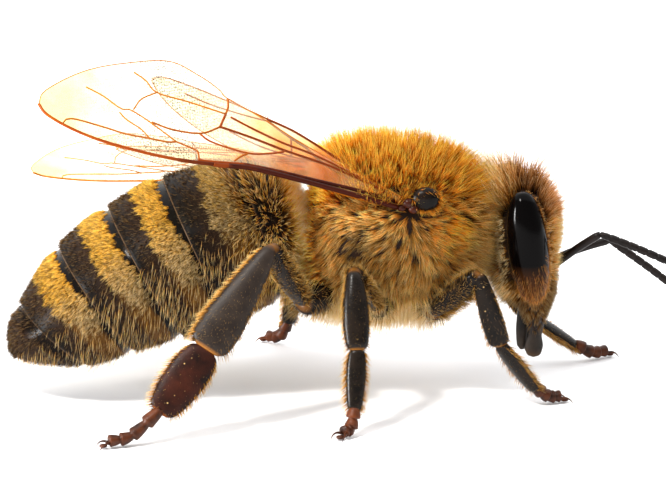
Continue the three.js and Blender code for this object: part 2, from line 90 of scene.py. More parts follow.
# Joints of each leg: root, hip, knee, ankle, heel, foot, toe.
LEG_JOINTS = {
    "front_right": ((2.55, -0.55, 2.55), (2.31, -1.20, 2.22), (3.34, -2.20, 3.37), (3.86, -2.20, 1.62),
                    (4.76, -1.97, 0.42), (5.08, -1.86, 0.17), (5.38, -1.76, 0.13)),
    "front_left": ((2.55, 0.55, 2.55), (2.35, 1.20, 2.22), (4.05, 2.05, 2.66), (5.12, 1.92, 1.20),
                   (6.22, 2.00, 0.42), (6.66, 2.18, 0.17), (7.05, 2.40, 0.13)),
    "middle_right": ((1.20, -0.60, 2.50), (0.93, -1.30, 2.42), (0.24, -3.00, 3.72), (0.25, -3.75, 1.99),
                     (0.15, -4.18, 0.62), (0.05, -4.33, 0.19), (-0.14, -4.52, 0.13)),
    "middle_left": ((1.20, 0.60, 2.50), (0.90, 1.30, 2.42), (-0.10, 2.95, 3.68), (-0.52, 3.75, 1.99),
                    (-0.76, 4.18, 0.62), (-0.96, 4.36, 0.19), (-1.25, 4.56, 0.13)),
    "hind_right": ((-0.15, -0.62, 2.72), (-0.86, -1.50, 2.62), (-1.73, -3.10, 4.40), (-3.38, -4.00, 2.14),
                   (-4.51, -4.50, 0.77), (-5.20, -4.70, 0.22), (-5.76, -4.84, 0.13)),
    "hind_left": ((-0.15, 0.62, 2.72), (-0.86, 1.50, 2.62), (-1.75, 3.25, 3.74), (-3.50, 4.30, 1.76),
                  (-4.68, 4.72, 0.66), (-5.30, 4.90, 0.22), (-5.84, 5.04, 0.13)),
}
# Half widths and half thicknesses of each leg's lengths, at even places from start to end.
LEG_SHAPES = {
    "front": {
        "coxa": ((0.34, 0.38, 0.28), (0.34, 0.38, 0.26)),
        "femur": ((0.16, 0.26, 0.27, 0.20), (0.15, 0.22, 0.22, 0.16)),
        "tibia": ((0.15, 0.24, 0.28, 0.25), (0.14, 0.18, 0.19, 0.17)),
        "basitarsus": ((0.17, 0.24, 0.24, 0.18), (0.12, 0.14, 0.14, 0.12)),
    },
    "middle": {
        "coxa": ((0.36, 0.40, 0.30), (0.36, 0.40, 0.28)),
        "femur": ((0.17, 0.28, 0.29, 0.20), (0.15, 0.23, 0.23, 0.17)),
        "tibia": ((0.16, 0.29, 0.32, 0.25), (0.14, 0.20, 0.20, 0.17)),
        "basitarsus": ((0.19, 0.24, 0.22, 0.16), (0.12, 0.14, 0.14, 0.12)),
    },
    "hind": {
        "coxa": ((0.40, 0.46, 0.34), (0.40, 0.46, 0.30)),
        "femur": ((0.18, 0.32, 0.33, 0.21), (0.16, 0.25, 0.24, 0.17)),
        "tibia": ((0.16, 0.31, 0.43, 0.52, 0.47), (0.14, 0.18, 0.19, 0.18, 0.14)),
        "basitarsus": ((0.34, 0.49, 0.50, 0.44, 0.30), (0.11, 0.14, 0.14, 0.13, 0.10)),
    },
}
LEG_PARTS = (("coxa", 0, 1), ("femur", 1, 2), ("tibia", 2, 3), ("basitarsus", 3, 4))

LEG_BOWS = {"femur": 0.03, "tibia": -0.03}      # how far the middle of a length bows out
JOINT_TINTS = {"tibia": 1.0, "basitarsus": 0.8}     # how much of the joints' colour a length's end takes
OTHER_JOINT_TINT = 0.35
LEG_HAIR_SIDES = {"every": (0, ROUND), "rear": (-np.pi / 2 - 0.5, -np.pi / 2 + 0.5),
                  "ahead": (np.pi / 2 - 0.5, np.pi / 2 + 0.5)}

# Hairs of each length of a leg: number, where along it, side, length, lean to the foot, colour zone, radius.
LEG_HAIRS = {
    "coxa": (
        (520, (0.10, 0.95), "every", 0.38, 0.45, 0.35, 0.0070),),
    "femur": (
        (1100, (0.04, 0.95), "every", 0.24, 0.50, 0.30, 0.0064),
        (420, (0.02, 0.85), "ahead", 0.40, 0.40, 0.45, 0.0062)),
    "tibia": (
        (520, (0.05, 0.97), "every", 0.10, 0.65, 0.15, 0.0055),
        (260, (0.10, 0.97), "rear", 0.20, 0.45, 0.50, 0.0060),
        (160, (0.20, 0.97), "ahead", 0.16, 0.45, 0.40, 0.0060)),
    "basket": (
        (1100, (0.05, 0.97), "every", 0.10, 0.60, 0.10, 0.0055),
        (520, (0.05, 0.97), "rear", 0.26, 0.40, 0.55, 0.0065),
        (260, (0.15, 0.97), "ahead", 0.24, 0.45, 0.30, 0.0060)),
    "basitarsus": (
        (420, (0.05, 0.97), "every", 0.08, 0.65, 0.35, 0.0050),
        (300, (0.05, 0.98), "rear", 0.26, 0.45, 0.55, 0.0060),
        (300, (0.05, 0.98), "ahead", 0.22, 0.40, 0.50, 0.0060)),
}

# Wing edges, from the root to the tip: along the wing, and across it.
FOREWING_LEAD = ((0.00, -0.14), (1.80, -0.10), (3.60, -0.13), (4.90, -0.38), (6.20, -0.58), (7.60, -0.58),
                 (8.70, -0.38), (9.10, -0.15), (9.22, 0.04))
FOREWING_TRAIL = ((0.00, 0.22), (1.20, 0.56), (2.40, 0.97), (3.60, 1.42), (4.40, 1.66), (4.58, 1.74),
                  (4.80, 1.96),
                  (5.30, 2.26), (6.10, 2.48), (7.20, 2.02), (8.22, 1.37), (9.05, 0.55), (9.20, 0.25),
                  (9.22, 0.04))
HINDWING_LEAD = ((0.05, 0.20), (0.95, 0.68), (1.80, 1.14), (2.70, 1.48), (3.60, 1.66), (4.60, 1.86),
                 (5.60, 2.05),
                 (6.20, 2.08), (6.42, 1.98), (6.45, 1.86))
HINDWING_TRAIL = ((0.10, -0.04), (1.40, -0.04), (2.80, 0.08), (4.10, 0.38), (5.20, 0.80), (6.10, 1.35),
                  (6.40, 1.70),
                  (6.45, 1.86))
WINGS = {
    "right": {"root": (1.51, -1.75, 5.06), "tip": (-7.25, -2.60, 7.87), "roof": 40},
    "left": {"root": (1.51, 1.75, 5.06), "tip": (-6.95, 4.98, 4.42), "roof": 36},
}
# Veins in the wing's plane: half width, colour from amber 0 to maroon 1, and the points that each passes.
FOREWING_VEINS = (
    (0.055, 1.0, ((0.10, -0.12), (1.30, -0.10), (2.60, -0.11), (3.80, -0.16), (4.42, -0.28))),
    (0.052, 0.74, ((4.42, -0.28), (4.60, -0.33), (4.80, -0.36))),
    (0.045, 0.95, ((4.80, -0.36), (5.20, -0.44), (5.70, -0.52))),
    (0.038, 0.65, ((5.70, -0.52), (6.50, -0.585), (7.60, -0.58), (8.40, -0.45), (9.00, -0.22),
                   (9.22, 0.04))),
    (0.042, 0.9, ((0.15, 0.02), (1.24, 0.04), (2.18, 0.00), (3.20, -0.04), (4.04, -0.12))),
    (0.040, 0.6, ((4.04, -0.12), (4.45, -0.22), (4.83, -0.31), (5.20, -0.38))),
    (0.014, 0.2, ((9.22, 0.04), (9.08, 0.52), (8.22, 1.37), (7.20, 2.01), (6.10, 2.47), (5.30, 2.25),
                  (4.80, 1.95),
                  (4.58, 1.74), (3.60, 1.42), (2.40, 0.97), (1.20, 0.56), (0.10, 0.20))),
    (0.024, 0.4, ((8.52, -0.22), (8.28, -0.14), (7.55, -0.16), (7.04, -0.19), (6.52, -0.14), (5.99, -0.09),
                  (5.77, -0.01))),
    (0.022, 0.4, ((5.77, -0.01), (5.28, -0.10), (5.20, -0.20), (5.15, -0.42))),
    (0.020, 0.4, ((8.60, -0.38), (8.52, -0.22))),
    (0.019, 0.2, ((8.11, 0.94), (7.65, 0.81), (7.20, 0.59), (6.93, 0.62), (6.46, 0.41), (5.77, -0.01))),
    (0.019, 0.2, ((7.22, 0.46), (7.03, 0.28), (6.66, 0.09), (6.45, -0.12))),
    (0.020, 0.2, ((6.96, 1.79), (6.65, 1.62), (6.35, 1.35), (5.56, 1.33), (4.59, 1.28))),
    (0.019, 0.2, ((6.35, 1.35), (6.71, 1.04), (6.88, 0.67))),
    (0.030, 0.6, ((4.59, 1.28), (4.69, 0.87))),
    (0.030, 0.7, ((4.69, 0.87), (3.90, 0.80), (3.04, 0.67), (1.91, 0.55), (1.07, 0.36), (0.27, 0.16))),
    (0.024, 0.4, ((6.41, 0.42), (5.85, 0.36), (5.17, 0.49), (4.69, 0.87))),
    (0.024, 0.5, ((5.19, 0.46), (4.85, 0.29), (3.96, 0.25), (3.40, 0.44), (3.11, 0.59), (3.02, 0.68))),
    (0.022, 0.4, ((3.96, 0.25), (4.16, 0.06), (4.29, -0.11))),
    (0.024, 0.4, ((4.58, 1.74), (4.55, 1.50), (4.59, 1.28))),
    (0.026, 0.6, ((4.46, 1.23), (3.73, 1.04), (3.05, 0.89), (2.30, 0.78), (1.40, 0.52), (0.40, 0.20))),
)
HINDWING_VEINS = (
    (0.028, 0.6, ((0.12, 0.22), (0.95, 0.67), (1.80, 1.12), (2.70, 1.46), (3.50, 1.62))),
    (0.018, 0.3, ((3.50, 1.62), (4.60, 1.85), (5.60, 2.04), (6.20, 2.07), (6.45, 1.86))),
    (0.028, 0.7, ((3.48, 1.56), (2.84, 1.27), (2.42, 1.10), (1.99, 0.77), (1.40, 0.52), (0.70, 0.28),
                  (0.19, 0.12))),
    (0.020, 0.4, ((3.48, 1.56), (4.20, 1.55), (5.00, 1.60), (5.60, 1.72))),
    (0.020, 0.4, ((1.99, 0.77), (2.80, 0.72), (3.60, 0.78), (4.40, 0.98))),
    (0.022, 0.5, ((2.84, 1.27), (2.80, 0.95), (2.80, 0.72))),
    (0.013, 0.2, ((6.45, 1.86), (6.10, 1.35), (5.20, 0.80), (4.10, 0.38), (2.80, 0.08), (1.40, -0.03),
                  (0.15, -0.03))),
)
HOOKS = (3.50, 4.55, 20)        # first and last place of the hooks along the hindwing, and their number
HOOK_HALF = 0.015
VEIN_SIDES = 7
MEMBRANE = 0.006                # half thickness of a wing's skin
MEMBRANE_GRID = (150, 44)       # rows along a wing and points across it
PLEATS = (0.035, 3.6, 0.35)     # a wing's pleats: their height, and how fast they turn across and along it
WING_HOLLOW = (0.02, 0.7, 0.8)  # the slow wave along a wing: its height, its rate and its still line
HINDWING_DROP = -0.20           # the hindwing's level under the forewing's
# Painted paleness: the far wings' veins are drawn paler, standing in for the glare and blur that wash out the
# far wing.
FAR_VEINS = 0.7                 # the far wings' veins are this much slighter, and paler by its cube

# How deep the coat lies over the skin: above and at the sides of the thorax, and the waist's share.
THORAX_DEPTH = (0.56, 0.44)
WAIST_DEPTH = (0.36, 0.16)
HEAD_DEPTH = {"face": 0.24, "nape": 0.22, "side": 0.13}
# Rises of the face: height, its place and reach in z, its place and reach in y.
MOUTH_SHIELD = (0.13, 2.45, 0.55, 0.0, 0.55)
FEELER_TROUGH = (0.10, 3.05, 0.22, 0.38, 0.22)
EYE_FULLNESS = 0.78             # an eye's outline is rounder than a ball's the lower this is
LIMB_END = 0.10                 # share of a limb's length that each rounded end takes
TRUNK_ENDS = (0.0, 6.0)         # first and last row of the thorax's table
HEAD_ENDS = (0.0, 9.0)
PLATE_GRID = (46, 144)          # points along and around one abdomen plate

# ---- How the coat varies, at places given on her left side ----

LEAST_CHANCE = 1e-9             # keeps a place just possible where no hair is asked for
SWIRL = (1.75, 1.86, 4.62)      # the flank's strands sweep away from here
# Middle and radius of spots on the thorax.
GOLD_FLANK = ((2.75, 1.80, 4.45), 0.55)
# Painted light: hairs below the shoulder plate are made lighter to make up for the plate's shadow.
PAINTED_LIGHT_FLANK = ((2.62, 2.00, 4.55), 0.50)
DIM_FLANK = ((1.75, 2.10, 4.20), 0.60)
SHORT_HOLLOW = ((0.50, 2.00, 4.10), 0.45)
# Painted shade: hairs in the hollow over the middle leg are darkened as the recess's shade.
PAINTED_SHADE_HOLLOW = ((0.52, 2.00, 4.12), 0.42)
BRIGHT_TOP = ((0.80, 0.80, 6.20), 0.90)
SHORT_SHOULDER_REACH = 0.42
# Hollows where the thorax's coat thins out: how much, middle and radius.
HOLLOWS = ((0.95, (0.32, 2.0, 3.98), 0.36), (0.60, (3.10, 1.5, 4.05), 0.24), (0.50, (0.63, 1.2, 6.05), 0.30))
BAREST = 0.93                   # the most that a hollow thins the coat
TEGULA_CLEAR = 0.84             # the coat keeps off this much of the shoulder plate
# Each gold band's first and last place along plates 2 to 5, and each plate's share of their tufts.
BAND_ENDS = {2: (0.26, 0.52), 3: (0.13, 0.47), 4: (0.12, 0.48), 5: (0.11, 0.46)}
BAND_SHARES = {2: 0.22, 3: 0.30, 4: 0.27, 5: 0.21}
DARK_SHARES = {1: 0.12, 2: 0.18, 3: 0.20, 4: 0.20, 5: 0.16, 6: 0.14}
BELLY_SHARES = {2: 0.27, 3: 0.27, 4: 0.22, 5: 0.15, 6: 0.09}
PATCH = 0.003                   # size of one tuft's place on the baking map
MAP_RIM = 0.01                  # how far the baking map's places keep from its edge
MAP_STRIPS = 12                 # limbs side by side on each half of the legs' baking map
MOST_TRIANGLES = 196000         # in one piece of the coat
HAIR_STEPS = {"long": 3, "common": 2, "short": 1}
SEEDS = {"thorax": 11, "head": 12, "abdomen": 13, "legs": 14}

# ---- Colours ----


def linear(code):
    """An sRGB hex colour as linear red, green and blue: c / 12.92 in the darkest part, and else
    ((c + 0.055) / 1.055) ** 2.4."""
    parts = [int(code[i:i + 2], 16) / 255 for i in (1, 3, 5)]
    return tuple(c / 12.92 if c <= 0.04045 else ((c + 0.055) / 1.055) ** 2.4 for c in parts)


def opaque(colour):
    """A colour, in sRGB hex or linear already, as linear with full alpha, which is what a colour socket
    takes."""
    return (*(linear(colour) if isinstance(colour, str) else tuple(colour)[:3]), 1.0)


# ---- Shapes worked out as whole arrays ----


def unit(vectors):
    """Each vector divided by its own length."""
    return vectors / np.maximum(np.linalg.norm(vectors, axis=-1, keepdims=True), 1e-12)


def smooth(value, low, high):
    """0 below low, 1 above high, and between them the cubic 3f^2 - 2f^3."""
    f = np.clip((value - low) / (high - low), 0, 1)
    return f * f * (3 - 2 * f)


def read_rows(rows, t):
    """A table read at places t: a cubic through the rows, whose slope at a row is half the step between its
    neighbours."""
    rows = np.asarray(rows, float)
    slopes = np.gradient(rows, axis=0)
    t = np.clip(np.asarray(t, float), 0, len(rows) - 1)
    i = np.minimum(t.astype(int), len(rows) - 2)
    f = (t - i)[..., None]
    return ((2 * f**3 - 3 * f**2 + 1) * rows[i] + (f**3 - 2 * f**2 + f) * slopes[i]
            + (3 * f**2 - 2 * f**3) * rows[i + 1] + (f**3 - f**2) * slopes[i + 1])


def body_ring(rows, t, turn, high_in, wide_in):
    """A point of the trunk: its ring's middle, plus the half height by the turn's cosine up the ring's
    leaning plane, plus the half width by the turn's sine to her left. Both half sizes lose the depth of
    the coat."""
    x, z, lean, high, wide = np.moveaxis(read_rows(rows, t), -1, 0)
    lean = np.radians(lean)
    up = (high - high_in) * np.cos(turn)
    return np.stack([x - np.sin(lean) * up, (wide - wide_in) * np.sin(turn), z + np.cos(lean) * up], -1)


def thorax_skin(t, turn):
    """The thorax under its coat: the trunk's rings less the coat, deeper above than at the sides, and
    deeper still above the waist."""
    waist = smooth(t, 4.2, 5.2)
    above = THORAX_DEPTH[0] + WAIST_DEPTH[0] * waist * smooth(np.cos(turn), 0.0, 0.6)
    return body_ring(THORAX, t, turn, above, THORAX_DEPTH[1] + WAIST_DEPTH[1] * waist)


def abdomen_place(number, s):
    """The table row at share s of the length of one abdomen segment."""
    return SEGMENT_ENDS[number - 1] + (SEGMENT_ENDS[number] - SEGMENT_ENDS[number - 1]) * s


def abdomen_plate(number, s, turn):
    """An upper plate of the abdomen: it starts under the plate before it, rises to full size by a third
    of its length and turns down a little at its rear edge."""
    tuck = 0.08 * (1 - smooth(s, 0.0, 0.30)) + 0.025 * smooth(s, 0.93, 1.0)
    inner = np.minimum(0.11 - 0.12 * smooth(np.cos(turn), -0.2, 0.5) + tuck, 0.9)
    return body_ring(ABDOMEN, abdomen_place(number, s), turn, inner, inner)


def swell(y, z, height, z_middle, z_reach, y_middle, y_reach):
    """A rounded rise on both sides of the face: its height, times a bell in z, times one in the size of
    y."""
    return height * np.exp(-((z - z_middle) / z_reach) ** 2 - ((np.abs(y) - y_middle) / y_reach) ** 2)


def head_skin(t, turn):
    """The head under its coat: level rings a little squarer than ovals, turn 0 to the face, with a raised
    shield over the mouth, a shallow trough under each feeler and a crown that lies well inside its tuft."""
    z, face, nape, wide = np.moveaxis(read_rows(HEAD, t), -1, 0)
    z = np.where(z > 4.4, 4.4 + (z - 4.4) * 0.62, z)
    low = smooth(z, 3.5, 2.8)
    face = face - HEAD_DEPTH["face"] + 0.10 * low
    gena = smooth(z, 2.6, 3.0) * smooth(z, 4.8, 4.4)
    nape = nape + HEAD_DEPTH["nape"] - 0.17 * gena - 0.10 * low
    wide = np.maximum(wide - HEAD_DEPTH["side"] - 0.10 * smooth(z, 4.5, 5.1), 0.05)
    cos, sin = np.cos(turn), np.sin(turn)
    bend = 0.88 - 0.14 * gena * smooth(cos, 0.1, -0.1)
    x = (face + nape) / 2 + (face - nape) / 2 * np.sign(cos) * np.abs(cos) ** bend
    y = wide * np.sign(sin) * np.abs(sin) ** bend
    front = smooth(cos, 0.1, 0.9)
    rise = swell(y, z, *MOUTH_SHIELD) - swell(y, z, *FEELER_TROUGH)
    return np.stack([x + front * rise, y, z], -1)


def eye_surface(side, t, turn):
    """An eye: a ball squeezed to a full upright oval and leant back a little, t from its top to its foot."""
    across = np.sin(np.pi * t) ** EYE_FULLNESS
    x = EYE_HALF[0] * across * np.cos(turn)
    y = EYE_HALF[1] * across * np.sin(turn)
    z = EYE_HALF[2] * np.cos(np.pi * t) + 0 * turn
    cos, sin = math.cos(EYE_LEAN), math.sin(EYE_LEAN)
    return np.stack([EYE_MIDDLE[0] + x * cos - z * sin, side * (EYE_MIDDLE[1] + y),
                     EYE_MIDDLE[2] + x * sin + z * cos], -1)


def ball(middle, half, t, turn):
    """A ball squeezed along the three axes, t from 0 at its top to 1 at its foot."""
    across = np.sin(np.pi * t)
    shape = np.stack([across * np.cos(turn), across * np.sin(turn), np.cos(np.pi * t)], -1)
    return np.asarray(middle) + np.asarray(half) * shape


class Limb:
    """A straight or bowed limb. A point of it is its axis point, plus the half width by the turn's sine
    to its flat side, plus the half thickness by the turn's cosine along the third direction. Its ends are
    rounded off."""

    def __init__(self, start, end, flat, wide, thick, bow=0.0, past=0.06):
        self.start, self.end = np.array(start, float), np.array(end, float)
        self.axis = unit(self.end - self.start)
        self.start, self.end = self.start - self.axis * past, self.end + self.axis * past
        flat = np.array(flat, float)
        self.flat = unit(flat - self.axis * flat.dot(self.axis))
        self.up = np.cross(self.axis, self.flat)
        self.wide, self.thick = np.array(wide, float)[:, None], np.array(thick, float)[:, None]
        self.bow = bow

    def __call__(self, t, turn):
        t, turn = np.broadcast_arrays(np.asarray(t, float), np.asarray(turn, float))
        from_end = np.clip(np.minimum(t, 1 - t) / LIMB_END, 0, 1)
        close = np.sqrt(1 - (1 - from_end) ** 2)
        wide = read_rows(self.wide, t * (len(self.wide) - 1))[..., 0] * close
        thick = read_rows(self.thick, t * (len(self.thick) - 1))[..., 0] * close
        up = self.bow * np.sin(np.pi * t) + thick * np.cos(turn)
        return (self.start + (self.end - self.start) * t[..., None]
                + self.flat * (wide * np.sin(turn))[..., None]
                + self.up * up[..., None])


def closed_faces(rows, sides):
    """Faces of a closed tube of rings: quads between rings, and fans to a pole before the first and after
    the last."""
    ring = np.arange(sides)
    after = (ring + 1) % sides
    base = np.arange(rows - 1)[:, None] * sides
    quads = np.stack([base + ring, base + after, base + sides + after, base + sides + ring], -1)
    quads = quads.reshape(-1, 4)
    poles = rows * sides
    last = (rows - 1) * sides
    fans = np.concatenate([np.stack([after, ring, ring * 0 + poles], -1),
                           np.stack([last + ring, last + after, ring * 0 + poles + 1], -1)])
    return quads, fans


def turned_out(points, faces):
    """The faces in the order that makes the closed surface's volume positive, which is facing outwards."""
    total = 0.0
    for group in faces:
        for k in range(1, group.shape[1] - 1):
            a, b, c = points[group[:, 0]], points[group[:, k]], points[group[:, k + 1]]
            total += np.einsum("ij,ij->", a, np.cross(b, c))
    return faces if total > 0 else [group[:, ::-1] for group in faces]


def tube(rings):
    """A closed surface through rings of points, each end closed by a pole at its ring's middle."""
    rows, sides = rings.shape[:2]
    points = np.concatenate([rings.reshape(-1, 3), rings[:1].mean(1), rings[-1:].mean(1)])
    return points, turned_out(points, list(closed_faces(rows, sides)))


def with_poles(values, sides=None):
    """A tube's numbers ring by ring, or one for each ring of so many sides, with those of its two poles
    after them."""
    rings = values if sides is None else np.repeat(values[:, None], sides, axis=1)
    return np.concatenate([rings.ravel(), rings[:1].mean(1), rings[-1:].mean(1)])


def joined(parts):
    """Several surfaces as one: their points one after another, and their faces counted on."""
    points, faces, first = [], [], 0
    for part_points, part_faces in parts:
        points.append(part_points)
        faces += [group + first for group in part_faces]
        first += len(part_points)
    return np.concatenate(points), faces


def revolve(surface, rows, sides, low=0.0, high=1.0):
    """The rings of a surface at even steps of its first parameter and all round its second."""
    t = np.linspace(low, high, rows)[:, None]
    turn = np.linspace(0, ROUND, sides, endpoint=False)[None, :]
    return surface(*np.broadcast_arrays(t, turn))


def along_path(path, radii, sides):
    """A round tube along a path of points: at each, a circle square to the path's direction."""
    path = np.asarray(path, float)
    direction = unit(np.gradient(path, axis=0))
    hint = np.array((0.0, 0.0, 1.0)) if abs(direction[:, 2]).mean() < 0.8 else np.array((0.0, 1.0, 0.0))
    side = unit(np.cross(direction, hint))
    up = np.cross(side, direction)
    turn = np.linspace(0, ROUND, sides, endpoint=False)
    ring = side[:, None] * np.cos(turn)[:, None] + up[:, None] * np.sin(turn)[:, None]
    return tube(path[:, None] + ring * np.asarray(radii, float).reshape(-1, 1, 1))


# ---- Putting shapes into Blender ----


def in_frame(points):
    """Millimetres of the bee as metres of the shared frame."""
    return (points - np.array((MIDDLE_X, 0, 0))) * MM


def make_piece(name, points, faces, finish, slot, stands_for=(), fields=None, places=None):
    """A piece of the bee from points in millimetres and arrays of faces, with its finish, the numbers
    that its finish reads at each point, and its places on the baking map."""
    mesh = bpy.data.meshes.new(name)
    loops = np.concatenate([group.ravel() for group in faces]).astype(np.int32)
    sizes = np.concatenate([np.full(len(group), group.shape[1]) for group in faces])
    mesh.vertices.add(len(points))
    mesh.vertices.foreach_set("co", in_frame(points).astype(np.float32).ravel())
    mesh.loops.add(len(loops))
    mesh.loops.foreach_set("vertex_index", loops)
    mesh.polygons.add(len(sizes))
    mesh.polygons.foreach_set("loop_start", (np.cumsum(sizes) - sizes).astype(np.int32))
    mesh.polygons.foreach_set("use_smooth", np.ones(len(sizes), bool))
    for field, values in (fields or {}).items():
        numbers = mesh.attributes.new(field, "FLOAT", "POINT").data
        numbers.foreach_set("value", np.asarray(values, np.float32).ravel())
    mesh.update(calc_edges=True)
    if places is not None:
        baking_map = mesh.uv_layers.new(name="OFBake").data
        baking_map.foreach_set("uv", places[loops].astype(np.float32).ravel())
    mesh.materials.append(finish)
    made = bpy.data.objects.new(name, mesh)
    bpy.context.scene.collection.objects.link(made)
    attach(made, "root")
    if stands_for:
        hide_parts(*stands_for)
    return made


# ---- Finishes ----

CHITIN_IOR = 1.5
# Sockets of a Mix node that mixes colours: its share, its two colours and what comes out.
SHARE, ONE, OTHER, MIXED = 0, 6, 7, 2
POLLEN = "#d8b070"
LIGHTEST_HAIR = (0.95, 0.755, 0.42)     # keeps lit hairs golden and short of white


def add_node(tree, kind, inputs=None, stops=None, **settings):
    """Adds a node: inputs are its sockets, each given a value or linked from another node's output, stops
    a ramp's places and colours, and settings the node's own properties. It returns the new node's first
    output."""
    node = tree.nodes.new("ShaderNode" + kind)
    for key, value in settings.items():
        setattr(node, key, value)
    for key, value in (inputs or {}).items():
        if isinstance(value, bpy.types.NodeSocket):
            tree.links.new(value, node.inputs[key])
        else:
            node.inputs[key].default_value = value
    if stops:
        while len(node.color_ramp.elements) < len(stops):
            node.color_ramp.elements.new(0.5)
        for element, (place, colour) in zip(node.color_ramp.elements, stops):
            element.position = place
            element.color = opaque(colour)
    return next((out for out in node.outputs if out.enabled), None)


def new_finish(name):
    """An empty material that is made of nodes, and its tree."""
    finish = bpy.data.materials.new(name)
    finish.use_nodes = True
    finish.node_tree.nodes.clear()
    return finish, finish.node_tree


def grains(size_mm):
    """The texture scale at which one cell of a pattern is this many millimetres across."""
    return 1 / (size_mm * MM)


def close_finish(tree, shader):
    """Joins the last shader to the material's output."""
    add_node(tree, "OutputMaterial", {"Surface": shader})


def cuticle(name, dark, light, rough=0.34, pit=0.03, depth=0.25, ends=None, gloss=0.15, dust=0.0):
    """Chitin, sclerotised and waxed over: near-black brown that goes redder where it is thin, with a low
    gloss broken by pits of the given size in millimetres. Ends gives the colour that the field named end
    brings in near joints, and dust is how strongly grains of pollen show, one to each 0.22 mm and drawn
    coarse enough to be seen."""
    finish, tree = new_finish(name)
    place = add_node(tree, "TexCoord").node.outputs["Object"]
    cloud = add_node(tree, "TexNoise", {"Vector": place, "Scale": grains(0.35), "Detail": 5.0})
    colour = add_node(tree, "ValToRGB", {"Fac": cloud}, stops=((0.30, dark), (0.72, light)))
    if ends is not None:
        end = add_node(tree, "Attribute", attribute_name="end").node.outputs["Fac"]
        colour = add_node(tree, "Mix", {SHARE: end, ONE: colour, OTHER: opaque(ends)},
                          data_type="RGBA").node.outputs[MIXED]
    if dust:
        grain = add_node(tree, "TexVoronoi", {"Vector": place, "Scale": grains(0.22)})
        speck = add_node(tree, "MapRange", {
            "Value": grain, "From Min": 0.10, "From Max": 0.06, "To Max": dust})
        colour = add_node(tree, "Mix", {SHARE: speck, ONE: colour, OTHER: opaque(POLLEN)},
                          data_type="RGBA").node.outputs[MIXED]
    cells = add_node(tree, "TexVoronoi", {"Vector": place, "Scale": grains(pit)})
    bump = add_node(tree, "Bump", {"Height": cells, "Strength": depth, "Distance": 0.006 * MM})
    wear = add_node(tree, "MapRange", {
        "Value": cloud, "To Min": rough - 0.06, "To Max": rough + 0.10})
    close_finish(tree, add_node(tree, "BsdfPrincipled", {
        "Base Color": colour, "Roughness": wear, "Normal": bump, "IOR": CHITIN_IOR,
        "Specular IOR Level": gloss}))
    return finish


def plate_finish(name, dark, brown, margin, band, gloss):
    """Chitin of the abdomen's plates: black and polished where the plate before it slides, dull brown
    under the felt of hairs, dark behind it, and drawn out to a thin pale see-through margin. Its scales
    are 0.045 mm across."""
    finish, tree = new_finish(name)
    place = add_node(tree, "TexCoord").node.outputs["Object"]
    station = add_node(tree, "Attribute", attribute_name="station").node.outputs["Fac"]
    cloud = add_node(tree, "TexNoise", {"Vector": place, "Scale": grains(0.30), "Detail": 6.0})
    shift = add_node(tree, "MapRange", {"Value": cloud, "To Min": -0.05, "To Max": 0.05})
    where = add_node(tree, "Math", {0: station, 1: shift})
    base = add_node(tree, "ValToRGB", {"Fac": where}, stops=(
        (0.12, dark), (0.20, band), (0.44, band), (0.58, brown), (0.92, dark)))
    edge = add_node(tree, "MapRange", {"Value": station, "From Min": 0.980, "From Max": 0.994})
    colour = add_node(tree, "Mix", {SHARE: edge, ONE: base, OTHER: opaque(margin)},
                      data_type="RGBA").node.outputs[MIXED]
    cells = add_node(tree, "TexVoronoi", {"Vector": place, "Scale": grains(0.045)})
    fine = add_node(tree, "TexNoise", {"Vector": place, "Scale": grains(0.02), "Detail": 2.0})
    height = add_node(tree, "Math", {0: cells, 1: fine})
    bump = add_node(tree, "Bump", {"Height": height, "Strength": 0.30, "Distance": 0.005 * MM})
    wear = add_node(tree, "MapRange", {
        "Value": where, "From Min": 0.12, "From Max": 0.30, "To Min": 0.15, "To Max": 0.42})
    close_finish(tree, add_node(tree, "BsdfPrincipled", {
        "Base Color": colour, "Roughness": wear, "Normal": bump, "IOR": CHITIN_IOR,
        "Specular IOR Level": gloss}))
    return finish


def eye_finish(name, dark, brown):
    """A compound eye: thousands of clear lenses over black pigment, drawn as cells 0.035 mm across,
    mirror-bright as a whole, with a browner lower rim where the pigment thins."""
    finish, tree = new_finish(name)
    place = add_node(tree, "TexCoord").node.outputs["Object"]
    height = add_node(tree, "SeparateXYZ", {"Vector": place}).node.outputs["Z"]
    low = add_node(tree, "MapRange", {"Value": height, "From Min": 3.5 * MM, "From Max": 2.6 * MM})
    colour = add_node(tree, "Mix", {SHARE: low, ONE: opaque(dark), OTHER: opaque(brown)},
                      data_type="RGBA").node.outputs[MIXED]
    cells = add_node(tree, "TexVoronoi", {"Vector": place, "Scale": grains(0.035), "Randomness": 0.35})
    bump = add_node(tree, "Bump", {"Height": cells, "Strength": 0.12, "Distance": 0.004 * MM}, invert=True)
    close_finish(tree, add_node(tree, "BsdfPrincipled", {
        "Base Color": colour, "Roughness": 0.12, "Normal": bump, "IOR": CHITIN_IOR,
        "Specular IOR Level": 0.055}))
    return finish


